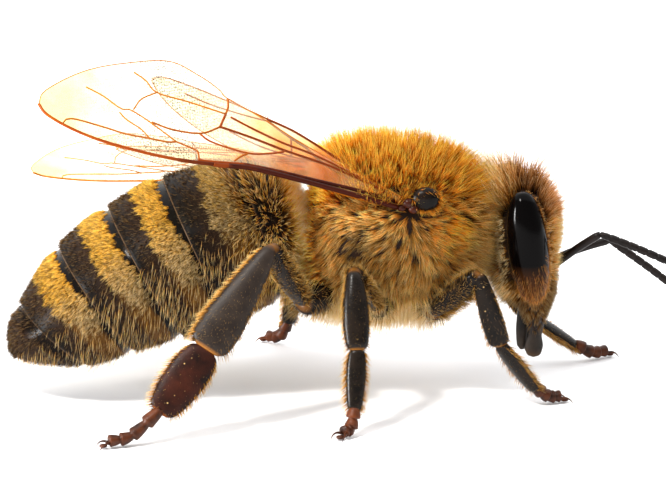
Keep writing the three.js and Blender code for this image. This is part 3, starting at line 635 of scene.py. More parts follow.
def hair_finish(name, zones, glow=0.45):
    """Branched hairs of chitin, hollow and see-through at the tip: dark at the root, deep gold along the
    shaft and pale at the end, and lit through from behind by the share called glow. Each zone gives those
    three colours, and the field zone goes from the first to the last of them."""
    finish, tree = new_finish(name)
    along, zone, tone = (add_node(tree, "Attribute", attribute_name=field).node.outputs["Fac"]
                         for field in ("along", "zone", "tone"))
    shades = [add_node(tree, "ValToRGB", {"Fac": along}, stops=(
        (0.08, root), (0.48, shaft), (0.92, tip))) for root, shaft, tip in zones]
    colour = shades[0]
    steps = len(zones) - 1
    for i, shade in enumerate(shades[1:]):
        share = add_node(tree, "MapRange", {
            "Value": zone, "From Min": i / steps, "From Max": (i + 1) / steps})
        colour = add_node(tree, "Mix", {SHARE: share, ONE: colour, OTHER: shade},
                          data_type="RGBA").node.outputs[MIXED]
    light = add_node(tree, "MapRange", {"Value": tone, "From Max": 2.0, "To Min": 0.36, "To Max": 2.36})
    colour = add_node(tree, "HueSaturation", {"Color": colour, "Value": light})
    colour = add_node(tree, "VectorMath", {0: colour, 1: LIGHTEST_HAIR}, operation="MINIMUM")
    solid = add_node(tree, "BsdfPrincipled", {
        "Base Color": colour, "Roughness": 0.55, "IOR": CHITIN_IOR, "Specular IOR Level": 0.08})
    through = add_node(tree, "BsdfTranslucent", {"Color": colour})
    close_finish(tree, add_node(tree, "MixShader", {0: glow, 1: solid, 2: through}))
    return finish


def membrane_finish(name, clear, amber, tip):
    """A wing's skin: two films of clear chitin that tint what lies behind, amber near the root and yellow
    at the tip, pricked all over with dark micro-hairs that are drawn 0.06 mm apart, coarser than life, so
    that they show."""
    finish, tree = new_finish(name)
    place = add_node(tree, "TexCoord").node.outputs["Object"]
    outer = add_node(tree, "Attribute", attribute_name="outer").node.outputs["Fac"]
    cloud = add_node(tree, "TexNoise", {"Vector": place, "Scale": grains(0.9), "Detail": 4.0})
    cells = add_node(tree, "TexVoronoi", {"Vector": place, "Scale": grains(0.060), "Randomness": 0.6})
    spot = add_node(tree, "MapRange", {"Value": cells, "From Min": 0.47, "From Max": 0.36})
    rise = add_node(tree, "MapRange", {
        "Value": outer, "From Min": 0.40, "From Max": 0.62, "To Min": 0.05})
    fade = add_node(tree, "MapRange", {
        "Value": outer, "From Min": 0.70, "From Max": 0.90, "To Min": 1.0, "To Max": 0.25})
    rise = add_node(tree, "Math", {0: rise, 1: fade}, operation="MULTIPLY")
    spots = add_node(tree, "Math", {0: spot, 1: rise}, operation="MULTIPLY")
    shift = add_node(tree, "MapRange", {"Value": cloud, "To Min": -0.20, "To Max": 0.20})
    where = add_node(tree, "Math", {0: outer, 1: shift})
    tint = add_node(tree, "ValToRGB", {"Fac": where}, stops=(
        (0.16, amber), (0.46, "#fdf7e8"), (0.74, clear), (0.96, tip)))
    colour = add_node(tree, "Mix", {SHARE: spots, ONE: tint, OTHER: opaque("#4c3312")},
                      data_type="RGBA").node.outputs[MIXED]
    film = add_node(tree, "MapRange", {"Value": outer, "To Min": 0.16, "To Max": 0.05})
    patch = add_node(tree, "MapRange", {
        "Value": cloud, "From Min": 0.35, "From Max": 0.7, "To Min": -0.04, "To Max": 0.08})
    film = add_node(tree, "Math", {0: film, 1: patch})
    thick = add_node(tree, "Math", {0: spots, 1: 0.30}, operation="MULTIPLY")
    share = add_node(tree, "Math", {0: film, 1: thick}, use_clamp=True)
    bump = add_node(tree, "Bump", {"Height": cloud, "Strength": 0.4, "Distance": 0.03 * MM})
    solid = add_node(tree, "BsdfPrincipled", {
        "Base Color": colour, "Roughness": 0.22, "Normal": bump, "IOR": 1.56, "Thin Film Thickness": 380.0,
        "Thin Film IOR": 1.4})
    glass = add_node(tree, "BsdfTransparent", {"Color": tint})
    close_finish(tree, add_node(tree, "MixShader", {0: share, 1: glass, 2: solid}))
    return finish


def vein_finish(name, amber, maroon):
    """Hollow wing veins of tanned chitin: amber where they are thin and maroon, nearly black, where they
    are stout."""
    finish, tree = new_finish(name)
    deep = add_node(tree, "Attribute", attribute_name="deep").node.outputs["Fac"]
    place = add_node(tree, "TexCoord").node.outputs["Object"]
    cloud = add_node(tree, "TexNoise", {"Vector": place, "Scale": grains(0.25), "Detail": 3.0})
    shift = add_node(tree, "MapRange", {"Value": cloud, "To Min": -0.15, "To Max": 0.15})
    where = add_node(tree, "Math", {0: deep, 1: shift})
    colour = add_node(tree, "ValToRGB", {"Fac": where}, stops=(
        (0.0, amber), (0.45, "#8e3c0c"), (0.95, maroon)))
    bump = add_node(tree, "Bump", {"Height": cloud, "Strength": 0.2, "Distance": 0.01 * MM})
    close_finish(tree, add_node(tree, "BsdfPrincipled", {
        "Base Color": colour, "Roughness": 0.30, "Normal": bump, "IOR": CHITIN_IOR,
        "Specular IOR Level": 0.08}))
    return finish


# ---- Hairs ----


def scatter(rng, surface, count, low, high, weight=None):
    """Places picked at random over a surface, as dense everywhere or as a weight asks: each of many
    thrown places is picked with a chance that goes with the area it stands for. It gives parameters,
    points and outward normals."""
    u, v = (rng.uniform(low[i], high[i], count * 6) for i in (0, 1))
    step = 1e-3
    cross = np.cross(surface(u + step, v) - surface(u - step, v),
                     surface(u, v + step) - surface(u, v - step))
    points = surface(u, v)
    chance = np.linalg.norm(cross, axis=-1) * (1.0 if weight is None else weight(points, u, v))
    picked = rng.choice(len(u), count, replace=False, p=chance / chance.sum())
    normals = unit(cross[picked])
    points = points[picked]
    out = np.sign(np.einsum("ij,ij->", normals, points - points.mean(0)))
    return u[picked], v[picked], points, normals * out


def level(vectors, normals):
    """What is left of each vector along its surface."""
    return vectors - normals * np.einsum("ij,ij->i", vectors, normals)[:, None]


def tufts(rng, roots, normals, aims, bends, lengths, places, zone, count, spread, pull, radius, stray=0.10,
          bright=0.0):
    """Hairs in tufts: each tuft's hairs start within its spread, point as it does with a little stray,
    and lean together so that their tips meet by the share called pull. Spread, pull, radius, stray and
    bright, which makes hairs lighter, may differ by tuft."""
    number = len(roots)
    spread, pull, radius, stray, bright = (np.broadcast_to(np.asarray(value, float), number)[:, None]
                                           for value in (spread, pull, radius, stray, bright))
    around = rng.uniform(0, ROUND, (number, count))
    away = spread * np.sqrt(rng.random((number, count)))
    side = unit(np.cross(normals, aims + rng.normal(0, 0.05, aims.shape)))
    other = np.cross(normals, side)
    offset = (side[:, None] * (np.cos(around) * away)[..., None]
              + other[:, None] * (np.sin(around) * away)[..., None])
    length = lengths[:, None] * rng.uniform(0.72, 1.06, (number, count))
    wander = rng.normal(0, 1, offset.shape) * stray[..., None]
    aim = aims[:, None] + wander - offset * (pull / length)[..., None]
    flat = (number * count, 3)
    return {
        "roots": (roots[:, None] + offset - normals[:, None] * 0.03).reshape(flat),
        "aims": unit(aim).reshape(flat),
        "bends": (bends[:, None] + rng.normal(0, 0.5, offset.shape) * stray[..., None]).reshape(flat),
        "lengths": length.ravel(),
        "places": np.repeat(places, count, axis=0),
        "zone": np.repeat(zone, count),
        "tone": (rng.random((number, 1)) + rng.normal(0, 0.12, (number, count))
                 + bright).clip(0, 1.6).ravel(),
        "radius": (radius * rng.uniform(0.8, 1.2, (number, count))).ravel(),
    }


def all_hairs(groups):
    """Several groups of hairs as one."""
    return {key: np.concatenate([group[key] for group in groups]) for key in groups[0]}


def hair_surfaces(rng, hairs, steps):
    """Three-sided hairs as closed spikes. A point of a hair's axis at share s is its root plus its length
    times (aim s + bend s^2), and its half thickness falls as (1 - s) ** 0.65."""
    share = np.linspace(0, 1, steps + 1)[:-1]
    taper = (1 - share) ** 0.65
    aims, lengths = hairs["aims"], hairs["lengths"][:, None]
    side = unit(np.cross(aims, unit(rng.normal(0, 1, aims.shape))))
    up = np.cross(aims, side)
    corner = np.arange(3) * ROUND / 3
    ring = side[:, None] * np.cos(corner)[:, None] + up[:, None] * np.sin(corner)[:, None]
    middle = hairs["roots"][:, None] + lengths[..., None] * (
        aims[:, None] * share[:, None] + hairs["bends"][:, None] * (share**2)[:, None])
    half = hairs["radius"][:, None] * taper
    rings = middle[:, :, None] + ring[:, None] * half[..., None, None]
    tips = hairs["roots"] + lengths * (aims + hairs["bends"])
    number = len(tips)
    points = np.concatenate([rings.reshape(number, -1, 3), tips[:, None]], 1)
    each = points.shape[1]
    first = (np.arange(number) * each)[:, None, None]
    j, nxt = np.arange(3), (np.arange(3) + 1) % 3
    base = np.arange(steps - 1)[:, None] * 3
    quads = np.stack([base + j, base + nxt, base + 3 + nxt, base + 3 + j], -1).reshape(1, -1, 4)
    last = (steps - 1) * 3
    caps = np.concatenate([np.stack([last + j, last + nxt, j * 0 + each - 1], -1), [[0, 2, 1]]])[None]
    along = np.append(np.repeat(share, 3), 1.0)
    across = np.append(np.tile((-0.5, 0.0, 0.5), steps), 0.0)
    places = hairs["places"][:, None] + PATCH * np.stack([across, along - 0.5], -1)
    fields = {
        "along": np.tile(along, number),
        "zone": np.repeat(hairs["zone"], each),
        "tone": np.repeat(hairs["tone"], each),
    }
    faces = [(first + quads).reshape(-1, 4), (first + caps).reshape(-1, 3)]
    return points.reshape(-1, 3), faces, fields, places.reshape(-1, 2)


def coat_pieces(rng, name, hairs, steps, finish, slot):
    """Makes the hairs into as few pieces as keep each under the limit of triangles, sorted along the
    body. A hair of three sides has six triangles to each step but the last, and four at its ends."""
    most = MOST_TRIANGLES // (6 * (steps - 1) + 4)
    order = np.argsort(hairs["roots"][:, 0], kind="stable")
    number = -(-len(order) // most)
    for i, share in enumerate(np.array_split(order, number)):
        own = {key: values[share] for key, values in hairs.items()}
        points, faces, fields, places = hair_surfaces(rng, own, steps)
        label = name if number == 1 else f"{name}_{i + 1}"
        make_piece(label, points, faces, finish, slot, fields=fields, places=places)


def unwrapped(u, v, u_span, v_span):
    """Surface parameters as places on the skin's own unwrap, kept off the map's rim."""
    shares = [(values - first) / (last - first) for values, (first, last) in ((u, u_span), (v, v_span))]
    return np.stack([MAP_RIM + (1 - 2 * MAP_RIM) * share for share in shares], -1)


def folded(points):
    """Places with those on her right side brought to her left, so that one place stands for both sides."""
    x, y, z = points.T
    return np.stack([x, np.abs(y), z], -1)


def near(points, middle, radius):
    """1 at a place on either side of the body, falling off as a bell over the radius."""
    gap = folded(points) - np.asarray(middle)
    return np.exp(-np.einsum("ij,ij->i", gap, gap) / radius**2)


def clear_of_tegula(points):
    """Thorax hairs keep off the wing's shoulder plate, and thin out in the hollows over the middle leg
    and behind the cheek."""
    gap = (folded(points) - TEGULA_MIDDLE) / (TEGULA_HALF * TEGULA_CLEAR)
    free = smooth(np.einsum("ij,ij->i", gap, gap), 0.7, 1.1)
    hollow = sum(depth * near(points, middle, radius) for depth, middle, radius in HOLLOWS)
    return free * (1 - np.minimum(hollow, BAREST)) + LEAST_CHANCE


def flank_share(points):
    """1 on the thorax's flank, 0 on its top and below."""
    _, y, z = points.T
    return smooth(np.abs(y), 0.95, 1.50) * smooth(z, 5.30, 4.85) * smooth(z, 2.35, 2.9)


def thorax_places(rng, count, on_flank):
    """Roots of the thorax's tufts, on the flank or off it, with fewer above the waist: points, normals
    and places."""
    def weight(points, u, v):
        x, _, z = points.T
        share = flank_share(points)
        behind = smooth(x, 0.0, -0.5) * smooth(z, 4.4, 4.8)
        share = share if on_flank else 1 - share
        return clear_of_tegula(points) * share * (1 - 0.6 * behind) + LEAST_CHANCE
    u, v, points, normals = scatter(rng, thorax_skin, count, (0.10, 0), (5.9, ROUND), weight)
    return points, normals, unwrapped(u, v, TRUNK_ENDS, (0, ROUND))


def flank_hairs(rng, settings):
    """The coat of the thorax's flanks: separate strands that sweep down and away from the wing's root."""
    number = settings.flank_tufts
    points, normals, places = thorax_places(rng, number, True)
    x, y, z = points.T
    out = np.sign(y)
    front = smooth(x, 2.4, 3.2)
    swirl = np.stack([0 * out + SWIRL[0], SWIRL[1] * out, 0 * out + SWIRL[2]], -1)
    sweep = unit(level(points - swirl + np.array((0, 0, -0.25)), normals))
    curl = np.cross(normals, sweep) * (0.32 * np.sin(x * 2.7 + z * 2.1 + out))[:, None]
    aims = unit(normals * (0.34 + 0.25 * front)[:, None] + sweep * (0.95 * (1 - 0.5 * front))[:, None]
                + np.outer(front, (0.75, 0, 0.05)) + rng.normal(0, 0.10, points.shape))
    bends = curl + np.array((0, 0, -0.12)) - normals * 0.10
    lengths = settings.thorax_coat / MM * (0.84 - 0.08 * (1 - front)) * rng.uniform(0.65, 1.15, number)
    lengths *= 1 - 0.45 * near(points, *SHORT_HOLLOW)
    zone = (0.50 + 0.5 * near(points, *GOLD_FLANK) + 0.18 * smooth(z, 4.2, 5.2) - 0.22 * smooth(z, 3.3, 2.5)
            + rng.normal(0, 0.07, number))
    # Painted light below the shoulder plate, painted shade in the hollow over the middle leg, and a dimmer
    # spot by the swirl.
    bright = (0.30 + 0.60 * near(points, *PAINTED_LIGHT_FLANK) - 0.22 * near(points, *DIM_FLANK)
              - 1.00 * near(points, *PAINTED_SHADE_HOLLOW))
    return tufts(rng, points, normals, aims, bends, lengths, places, np.clip(zone, 0, 1),
                 settings.hairs_per_tuft + 2,
                 spread=0.060, pull=0.62, radius=0.0072, stray=0.10, bright=bright)


def thorax_hairs(rng, settings):
    """The rest of the thorax's coat: fine hairs that stand on top, lean to the head in front and hang
    below."""
    number = settings.thorax_tufts
    points, normals, places = thorax_places(rng, number, False)
    x, _, z = points.T
    front, rear = smooth(x, 2.4, 3.2), smooth(x, 0.3, -0.5)
    top, below = smooth(z, 4.7, 5.3), smooth(z, 3.0, 2.3)
    ahead = smooth(x, 1.8, 2.5) * smooth(x, 3.9, 3.4)
    above_waist = smooth(x, 0.0, -0.5) * smooth(z, 4.2, 4.6)
    aims = unit(normals * (1 - 0.25 * below)[:, None] + np.outer(front * (1 - 0.45 * top), (0.75, 0, 0.10))
                + np.outer(rear, (-0.25, 0, 0.22)) + np.outer(below, (0, 0, -0.75))
                + rng.normal(0, 0.07, points.shape))
    bends = np.outer(1 - top, (0, 0, -0.06)) + np.outer(below, (-0.10, 0, 0))
    lengths = settings.thorax_coat / MM * (1.0 + below * (0.10 + 0.62 * ahead + 0.45 * rear) - 0.10 * rear)
    lengths *= rng.uniform(0.70, 1.20, number)
    lengths *= 1 - 0.55 * near(points, TEGULA_MIDDLE, SHORT_SHOULDER_REACH)
    lengths *= 1 - 0.62 * above_waist
    zone = (0.5 + 0.5 * smooth(z, 4.6, 5.2) - 0.5 * smooth(z, 3.2, 2.5) + 0.18 * rear * smooth(z, 3.0, 3.6)
            + rng.normal(0, 0.07, number))
    # Painted light: hairs at the waist and underneath are made lighter to make up for the shade of the wings
    # and the body falling on them. At the waist they also stand in for the glow of light from behind.
    bright = 0.12 + 0.95 * rear + 0.80 * below + 0.30 * near(points, *BRIGHT_TOP)
    return tufts(rng, points, normals, aims, bends, lengths, places, np.clip(zone, 0, 1),
                 settings.hairs_per_tuft,
                 spread=0.07, pull=0.25, radius=0.0062 + 0.0028 * rear, stray=0.11 + 0.10 * rear,
                 bright=bright)


def eye_gap(points):
    """How far out from an eye's middle a place on the head is: 1 at the eye's rim, and far from it
    inwards."""
    gap = folded(points) - EYE_MIDDLE
    x = gap[:, 0] * math.cos(EYE_LEAN) + gap[:, 2] * math.sin(EYE_LEAN)
    z = gap[:, 2] * math.cos(EYE_LEAN) - gap[:, 0] * math.sin(EYE_LEAN)
    size = (x / EYE_HALF[0]) ** 2 + (z / EYE_HALF[2]) ** 2
    return np.where(np.abs(points[:, 1]) > 1.0, size, 9.0)


def head_hairs(rng, settings):
    """The head's coat: a long wispy tuft on the crown, gold behind and brown with purplish tips in front,
    tan hairs down the face and short pale flecks behind the eyes."""
    def weight(points, u, v):
        x, y, z = points.T
        behind = smooth(x, 4.45, 4.2) * smooth(np.abs(y), 0.9, 1.3) * smooth(z, 4.9, 4.6)
        return (smooth(eye_gap(points), 0.95, 1.10) * (0.15 + smooth(z, 1.7, 2.1))
                * (1 - 0.5 * smooth(z, 4.6, 5.0))
                * (1 - 0.5 * behind) + LEAST_CHANCE)
    number = settings.head_tufts
    u, v, points, normals = scatter(rng, head_skin, number, (0.03, 0), (8.6, ROUND), weight)
    x, y, z = points.T
    side = smooth(np.abs(y), 0.9, 1.3) * smooth(x, 4.70, 4.35)
    crown = smooth(z, 4.15 + 0.55 * side, 4.65 + 0.40 * side)
    face = smooth(x, 4.75, 5.15)
    low = smooth(z, 3.3, 2.6)
    cheek = smooth(np.abs(y), 0.45, 0.8) * (1 - crown) * (1 - face) * smooth(z, 2.4, 2.9)
    brow = face * (1 - crown) * (1 - low)
    nape = crown * smooth(x, 4.80, 4.35)
    beard = smooth(x, 4.60, 4.35) * smooth(z, 3.3, 2.8)
    radial = unit(np.stack([x - 4.45, y * 0.35, z - 3.6], -1))
    down = level(np.array((0, 0, -1.0)) + 0 * points, normals)
    aims = unit(normals * (0.6 - 0.25 * cheek)[:, None] + radial * (0.15 + 0.75 * crown)[:, None]
                + np.outer(brow, (0, 0, 0.20)) + np.outer(cheek, (-0.5, 0, 0))
                + down * (0.45 * cheek + 0.35 * low)[:, None] + rng.normal(0, 0.10, points.shape))
    aims = unit(aims + np.outer(beard, (-1.0, 0, -0.5)) + np.outer(nape, (-0.30, 0, 0.45)))
    wisp = rng.uniform(0.05, 1.50, number) * (1 - 0.55 * smooth(x, 4.75, 5.3))
    lengths = settings.head_coat / MM * (0.50 + 1.10 * crown * wisp
                                         + 0.20 * brow - 0.30 * cheek - 0.08 * low)
    lengths *= rng.uniform(0.8, 1.15, number) * (1 - 0.60 * smooth(eye_gap(points), 1.7, 1.0) * (1 - crown))
    lengths = (lengths * (1 - cheek) + cheek * rng.uniform(0.08, 0.24, number)) * (1 + 0.55 * nape)
    lengths = lengths * (1 - beard) + beard * rng.uniform(0.35, 0.75, number)
    zone = (0.5 + 0.5 * crown * smooth(x, 4.20, 4.65) + 0.25 * (1 - crown) * low - 0.5 * cheek
            + rng.normal(0, 0.09, number))
    bends = np.array((0, 0, -0.06)) + rng.normal(0, 0.09, points.shape) * crown[:, None]
    bright = 0.45 * face * (1 - low) + 1.10 * cheek - 0.42 * low + 0.25 * crown
    # The last third of the zones is the eyes' orange, which the head's own hairs keep out of.
    return tufts(rng, points, normals, aims, bends, lengths, unwrapped(u, v, HEAD_ENDS, (0, ROUND)),
                 np.clip(zone, 0, 1) * 2 / 3, settings.hairs_per_tuft - 1, spread=0.05 + 0.02 * cheek,
                 pull=0.40 - 0.35 * cheek, radius=0.0064 + 0.0034 * cheek, stray=0.09 + 0.06 * crown,
                 bright=bright)


def single_hairs(rng, points, normals, aims, lengths, places, zone, radius, stray=0.05, bright=0.0,
                 bends=None):
    """Hairs that stand one by one."""
    bends = 0 * points if bends is None else bends
    return tufts(rng, points, normals, aims, bends, lengths, places, zone, 1, spread=0.01, pull=0.0,
                 radius=radius, stray=stray, bright=bright)


def eye_hairs(rng, side, count):
    """Fine orange hairs that fan down over an eye's lower part, and half as many short gold ones along
    its front rim."""
    def surface(t, turn):
        return eye_surface(side, t, turn)

    def weight(points, u, v):
        x, y, z = points.T
        ahead = 1.4 * np.maximum(x - 4.65, 0)
        return smooth(z - ahead, 3.50, 2.9) * smooth(np.abs(y) - 1.60, 0.0, 0.08) + LEAST_CHANCE
    u, v, points, normals = scatter(rng, surface, count, (0.3, 0), (0.97, ROUND), weight)
    away = unit(level(points - np.array((4.62, 1.9 * side, 4.0)), normals))
    aims = unit(normals * 0.20 + away + rng.normal(0, 0.05, points.shape))
    lengths = rng.uniform(0.16, 0.40, count)
    fan = single_hairs(rng, points, normals, aims, lengths, unwrapped(u, v, (0, 1), (0, ROUND)),
                       0.70 + 0.28 * rng.random(count), 0.0044, bright=0.30)
    count //= 2
    u, v, points, normals = scatter(rng, surface, count, (0.03, -0.15), (0.90, 0.30))
    aims = unit(normals + np.array((0.4, 0, 0)) + rng.normal(0, 0.15, points.shape))
    lengths = rng.uniform(0.08, 0.15, count)
    rim = single_hairs(rng, points, normals, aims, lengths, unwrapped(u, v % ROUND, (0, 1), (0, ROUND)),
                       0.4 + 0.4 * rng.random(count), 0.0056, bright=0.4)
    return all_hairs([fan, rim])


def shoulder_hairs(rng, side, count):
    """Short gold hairs about the rim of a wing's shoulder plate."""
    middle = TEGULA_MIDDLE * (1, side, 1)

    def surface(t, turn):
        return ball(middle, TEGULA_HALF, t, turn)

    def weight(points, u, v):
        return smooth(np.abs(points[:, 1]), 1.98, 1.90) + LEAST_CHANCE
    u, v, points, normals = scatter(rng, surface, count, (0.03, 0), (0.97, ROUND), weight)
    aims = unit(normals * 0.20 + np.array((0.35, 0.40 * side, -0.45)) + rng.normal(0, 0.16, points.shape))
    lengths = rng.uniform(0.12, 0.32, count)
    return single_hairs(rng, points, normals, aims, lengths, unwrapped(u, v, (0, 1), (0, ROUND)),
                        0.9 + 0 * lengths, 0.0065, stray=0.08)


def plate_hairs(rng, number, count, s_span, weight, zone_of, per_tuft, radius, half_turn=np.pi, back=0.0,
                drop=0.0, length=0.17, spread=0.04, bright=0.0):
    """Hairs on one abdomen plate, up to half a turn to each side of its top. Each points out, by the
    share called back to the plate's rear, and by the share called drop down over its side."""
    def surface(s, turn):
        return abdomen_plate(number, s, turn)
    s, turn, points, normals = scatter(rng, surface, count, (s_span[0], -half_turn), (s_span[1], half_turn),
                                       weight)
    rear = unit(surface(s + 0.01, turn) - surface(s - 0.01, turn))
    down = level(np.array((0, 0, -1.0)) + 0 * points, normals)
    aims = unit(normals * (1 - back) + rear * back + down * drop + rng.normal(0, 0.07, points.shape))
    bends = rear * 0.06 + down * (0.30 * drop) - normals * 0.08
    lengths = length * rng.uniform(0.75, 1.2, count)
    places = unwrapped(abdomen_place(number, s), (turn + np.pi) % ROUND, (0, 9), (0, ROUND))
    return tufts(rng, points, normals, aims, bends, lengths, places, zone_of(s, turn), per_tuft,
                 spread=spread, pull=0.3, radius=radius, stray=0.09, bright=bright)


def abdomen_felt(rng, settings):
    """Felt of the abdomen: thick bands of short gold hairs on plates 2 to 5, whose black front strip
    shows only on the back, and short brown hairs on the dark parts."""
    felt = []

    def dull(s, turn):
        return np.clip(0.52 - 0.14 * smooth(np.abs(turn), 0.5, 1.2) + rng.normal(0, 0.10, len(s)), 0.1, 0.67)

    def gold(s, turn):
        side = np.abs(turn)
        return np.clip(0.67 - 0.24 * smooth(side, 0.7, 1.3) - 0.15 * smooth(side, 1.2, 1.6)
                       + rng.normal(0, 0.05, len(s)), 0.1, 0.67)

    def brown(s, turn):
        return np.clip(rng.normal(0.02, 0.05, len(s)), 0, 0.25)

    for number, (front, rear) in BAND_ENDS.items():
        first = number == 2
        fade = 1.45 if first else 1.85

        def band(points, s, turn, front=front, rear=rear, fade=fade):
            side = np.abs(turn)
            ragged = 0.03 * np.sin(turn * 23) + 0.02 * np.sin(turn * 57 + 1)
            start = (front - 0.02) * (1 - smooth(side, 0.88, 1.20)) + ragged
            end = rear + ragged + 0.05 * smooth(side, 0.5, 0.9) - 0.16 * smooth(side, 1.05, 1.6)
            return (smooth(s, start - 0.03, start + 0.03) * smooth(s, end + 0.05, end - 0.06)
                    * smooth(side, fade, fade - 0.5) + LEAST_CHANCE)
        felt.append(plate_hairs(rng, number, int(settings.band_tufts * BAND_SHARES[number]), (0.0, 0.95),
                                band, dull if first else gold, 4, 0.0074, half_turn=2.2, back=0.52, drop=0.15,
                                spread=0.035, bright=-0.50 if first else -0.16))

    def upper(points, s, turn):
        return 1 - 0.6 * smooth(np.abs(turn), 1.2, 1.7) + 0 * s

    for number, share in DARK_SHARES.items():
        felt.append(plate_hairs(rng, number, int(settings.dark_tufts * share),
                                (0.2 if number < 6 else 0.02, 0.97),
                                upper, brown, 2, 0.0068, back=0.38, drop=0.1, bright=-0.36))
    return all_hairs(felt)


def abdomen_fringe(rng, settings):
    """Loose hairs of the abdomen: long curved tan ones down the flank and belly, and a long ruff on plate
    1 and the front of plate 2."""
    def mixed(middle, stray, least, most):
        return lambda s, turn: np.clip(rng.normal(middle, stray, len(s)), least, most)

    def belly(points, s, turn):
        return smooth(np.abs(turn), 1.0, 1.6) * (0.45 + 0.55 * smooth(s, 0.2, 0.8)) + LEAST_CHANCE

    def ruff(points, s, turn):
        return 0.35 + 0.65 * smooth(np.abs(turn), 2.4, 1.4) + 0 * s

    def collar(points, s, turn):
        return smooth(np.abs(turn), 2.2, 1.5) * (0.3 + smooth(s, 0.0, 0.25)) + LEAST_CHANCE

    def early(points, s, turn):
        return smooth(s, 0.50, 0.1) * smooth(np.abs(turn), 2.4, 1.6) + LEAST_CHANCE

    number = settings.ruff_tufts
    loose = [plate_hairs(rng, plate, int(settings.belly_tufts * share), (0.05, 0.97), belly,
                         mixed(0.30, 0.10, 0.05, 0.6), 1, 0.0040, back=0.14, drop=1.15, length=0.30,
                         spread=0.01, bright=0.82) for plate, share in BELLY_SHARES.items()]
    loose.append(plate_hairs(rng, 1, number, (0.35, 1.0), ruff, mixed(0.46, 0.14, 0.2, 1), 2, 0.0068,
                             back=0.30, drop=0.15, length=0.46, spread=0.05, bright=0.40))
    # Painted light: the collar takes the pale set and is made lighter still. This stands in for glow from
    # behind and makes up for the wings' shade.
    loose.append(plate_hairs(rng, 1, number, (0.02, 0.5), collar, mixed(0.92, 0.08, 0.6, 1), 2, 0.0068,
                             back=-0.55, drop=-0.55, length=0.52, spread=0.05, bright=0.5))
    loose.append(plate_hairs(rng, 2, number // 2, (0.0, 0.55), early, mixed(0.40, 0.14, 0.1, 0.7), 2, 0.0068,
                             back=0.45, drop=0.25, length=0.36, spread=0.05))
    return all_hairs(loose)


def limb_hairs(rng, limb, index, count, t_span, turns, length, lean, zone, radius, droop=0.0):
    """Hairs on a limb, about the given turns of its section, that lean to its far end. Each limb has its
    own strip of the baking map."""
    u, v, points, normals = scatter(rng, limb, count, (t_span[0], turns[0]), (t_span[1], turns[1]))
    middle = limb.start + (limb.end - limb.start) * u[:, None]
    normals = unit(level(points - middle, limb.axis + 0 * points))
    aims = unit(normals * (1 - lean) + limb.axis * lean + rng.normal(0, 0.06, points.shape))
    lengths = length * rng.uniform(0.7, 1.15, count)
    inner = 1 - 2 * MAP_RIM
    strip, half = (index % MAP_STRIPS + u) / MAP_STRIPS, index // MAP_STRIPS
    places = np.stack([MAP_RIM + inner * strip, MAP_RIM + inner * (v / ROUND % 1) * 0.5 + 0.5 * half], -1)
    bends = limb.axis * 0.15 + np.array((0, 0, -droop)) + 0 * points
    zones = np.clip(rng.normal(zone, 0.06, count), 0, 1)
    return single_hairs(rng, points, normals, aims, lengths, places, zones, radius, stray=0.06, bends=bends)


# ---- Legs, feelers and wings ----


def leg_flat(side):
    """The direction in which a leg's flat lengths are wide."""
    return np.array((0.82, 0.2 * side, -0.52))


def leg_limbs(name):
    """The four stout lengths of a leg as limbs, by name."""
    pair, side_name = name.split("_")
    joints = LEG_JOINTS[name]
    limbs = {}
    for part, start, end in LEG_PARTS:
        wide, thick = LEG_SHAPES[pair][part]
        bow = LEG_BOWS.get(part, 0.0) * SIDES[side_name]
        limbs[part] = Limb(joints[start], joints[end], leg_flat(SIDES[side_name]), wide, thick, bow)
    return limbs


def foot_parts(name):
    """A foot: four small cones in a bent row, each wider at its far end, then two hooked claws and the
    pad between."""
    heel, foot, toe = (np.array(point) for point in LEG_JOINTS[name][4:])
    t = np.linspace(0, 1, 41)[:, None]
    path = read_rows(np.stack([heel, foot, toe]), t[:, 0] * 2) + np.array((0, 0, 0.05))
    share = t[:, 0] * 4.0 % 1.0
    cone = np.clip(0.10 + 0.075 * share**0.7 - 0.07 * smooth(share, 0.88, 1.0), 0.04, 0.2)
    cone[-1] = 0.11
    parts = [along_path(path, cone * (1.15 - 0.25 * t[:, 0]), 10)]
    heading = unit((toe - foot) * np.array((1, 1, 0)))
    across = np.cross(heading, (0, 0, 1.0))
    for spread in (-1, 1):
        s = np.linspace(0, 1, 9)[:, None]
        hook = (toe - heading * 0.02 + heading * (0.30 * s)
                + across * (spread * (0.05 + 0.13 * np.sin(s * 1.9)))
                + np.array((0, 0, 1)) * (0.05 * np.sin(np.pi * s) - 0.115 * s**2))
        parts.append(along_path(hook, 0.042 * (1 - 0.85 * s[:, 0]), 8))
    middle = toe + heading * 0.13 + np.array((0, 0, -0.05))
    pad = revolve(lambda t, turn: ball(middle, (0.10, 0.10, 0.05), t, turn), 8, 12, 0.05, 0.95)
    return joined([*parts, tube(pad)])


def feeler_shape(name):
    """A feeler: a smooth bowed scape, then a whip of beads, each a little narrower at its front."""
    socket, elbow, tip = (np.array(point) for point in FEELERS[name])
    s = np.linspace(0, 1, 15)[:, None]
    scape = socket + (elbow - socket) * s + np.array((0, 0, 0.05)) * np.sin(np.pi * s)
    scape_half = FEELER_HALF * (0.72 + 0.28 * smooth(s[:, 0], 0.0, 0.4) - 0.25 * smooth(s[:, 0], 0.93, 1.0))
    t = np.linspace(0, 1, FLAGELLUM_BEADS * 8 + 1)[:, None]
    sag = (elbow + tip) / 2 + np.array((0, 0, 0.10))
    whip = elbow * (1 - t) ** 2 + sag * 2 * t * (1 - t) + tip * t**2
    share = t[:, 0] * FLAGELLUM_BEADS % 1.0
    bead = 1 - 0.20 * (1 - smooth(share, 0.0, 0.16)) - 0.14 * smooth(share, 0.88, 1.0)
    ends = (0.78 + 0.22 * smooth(t[:, 0], 0.0, 0.12)) * (1 - 0.45 * smooth(t[:, 0], 0.97, 1.0))
    whip_half = FEELER_HALF * 0.98 * bead * ends
    return along_path(scape, scape_half, 20), along_path(whip, whip_half, 20)


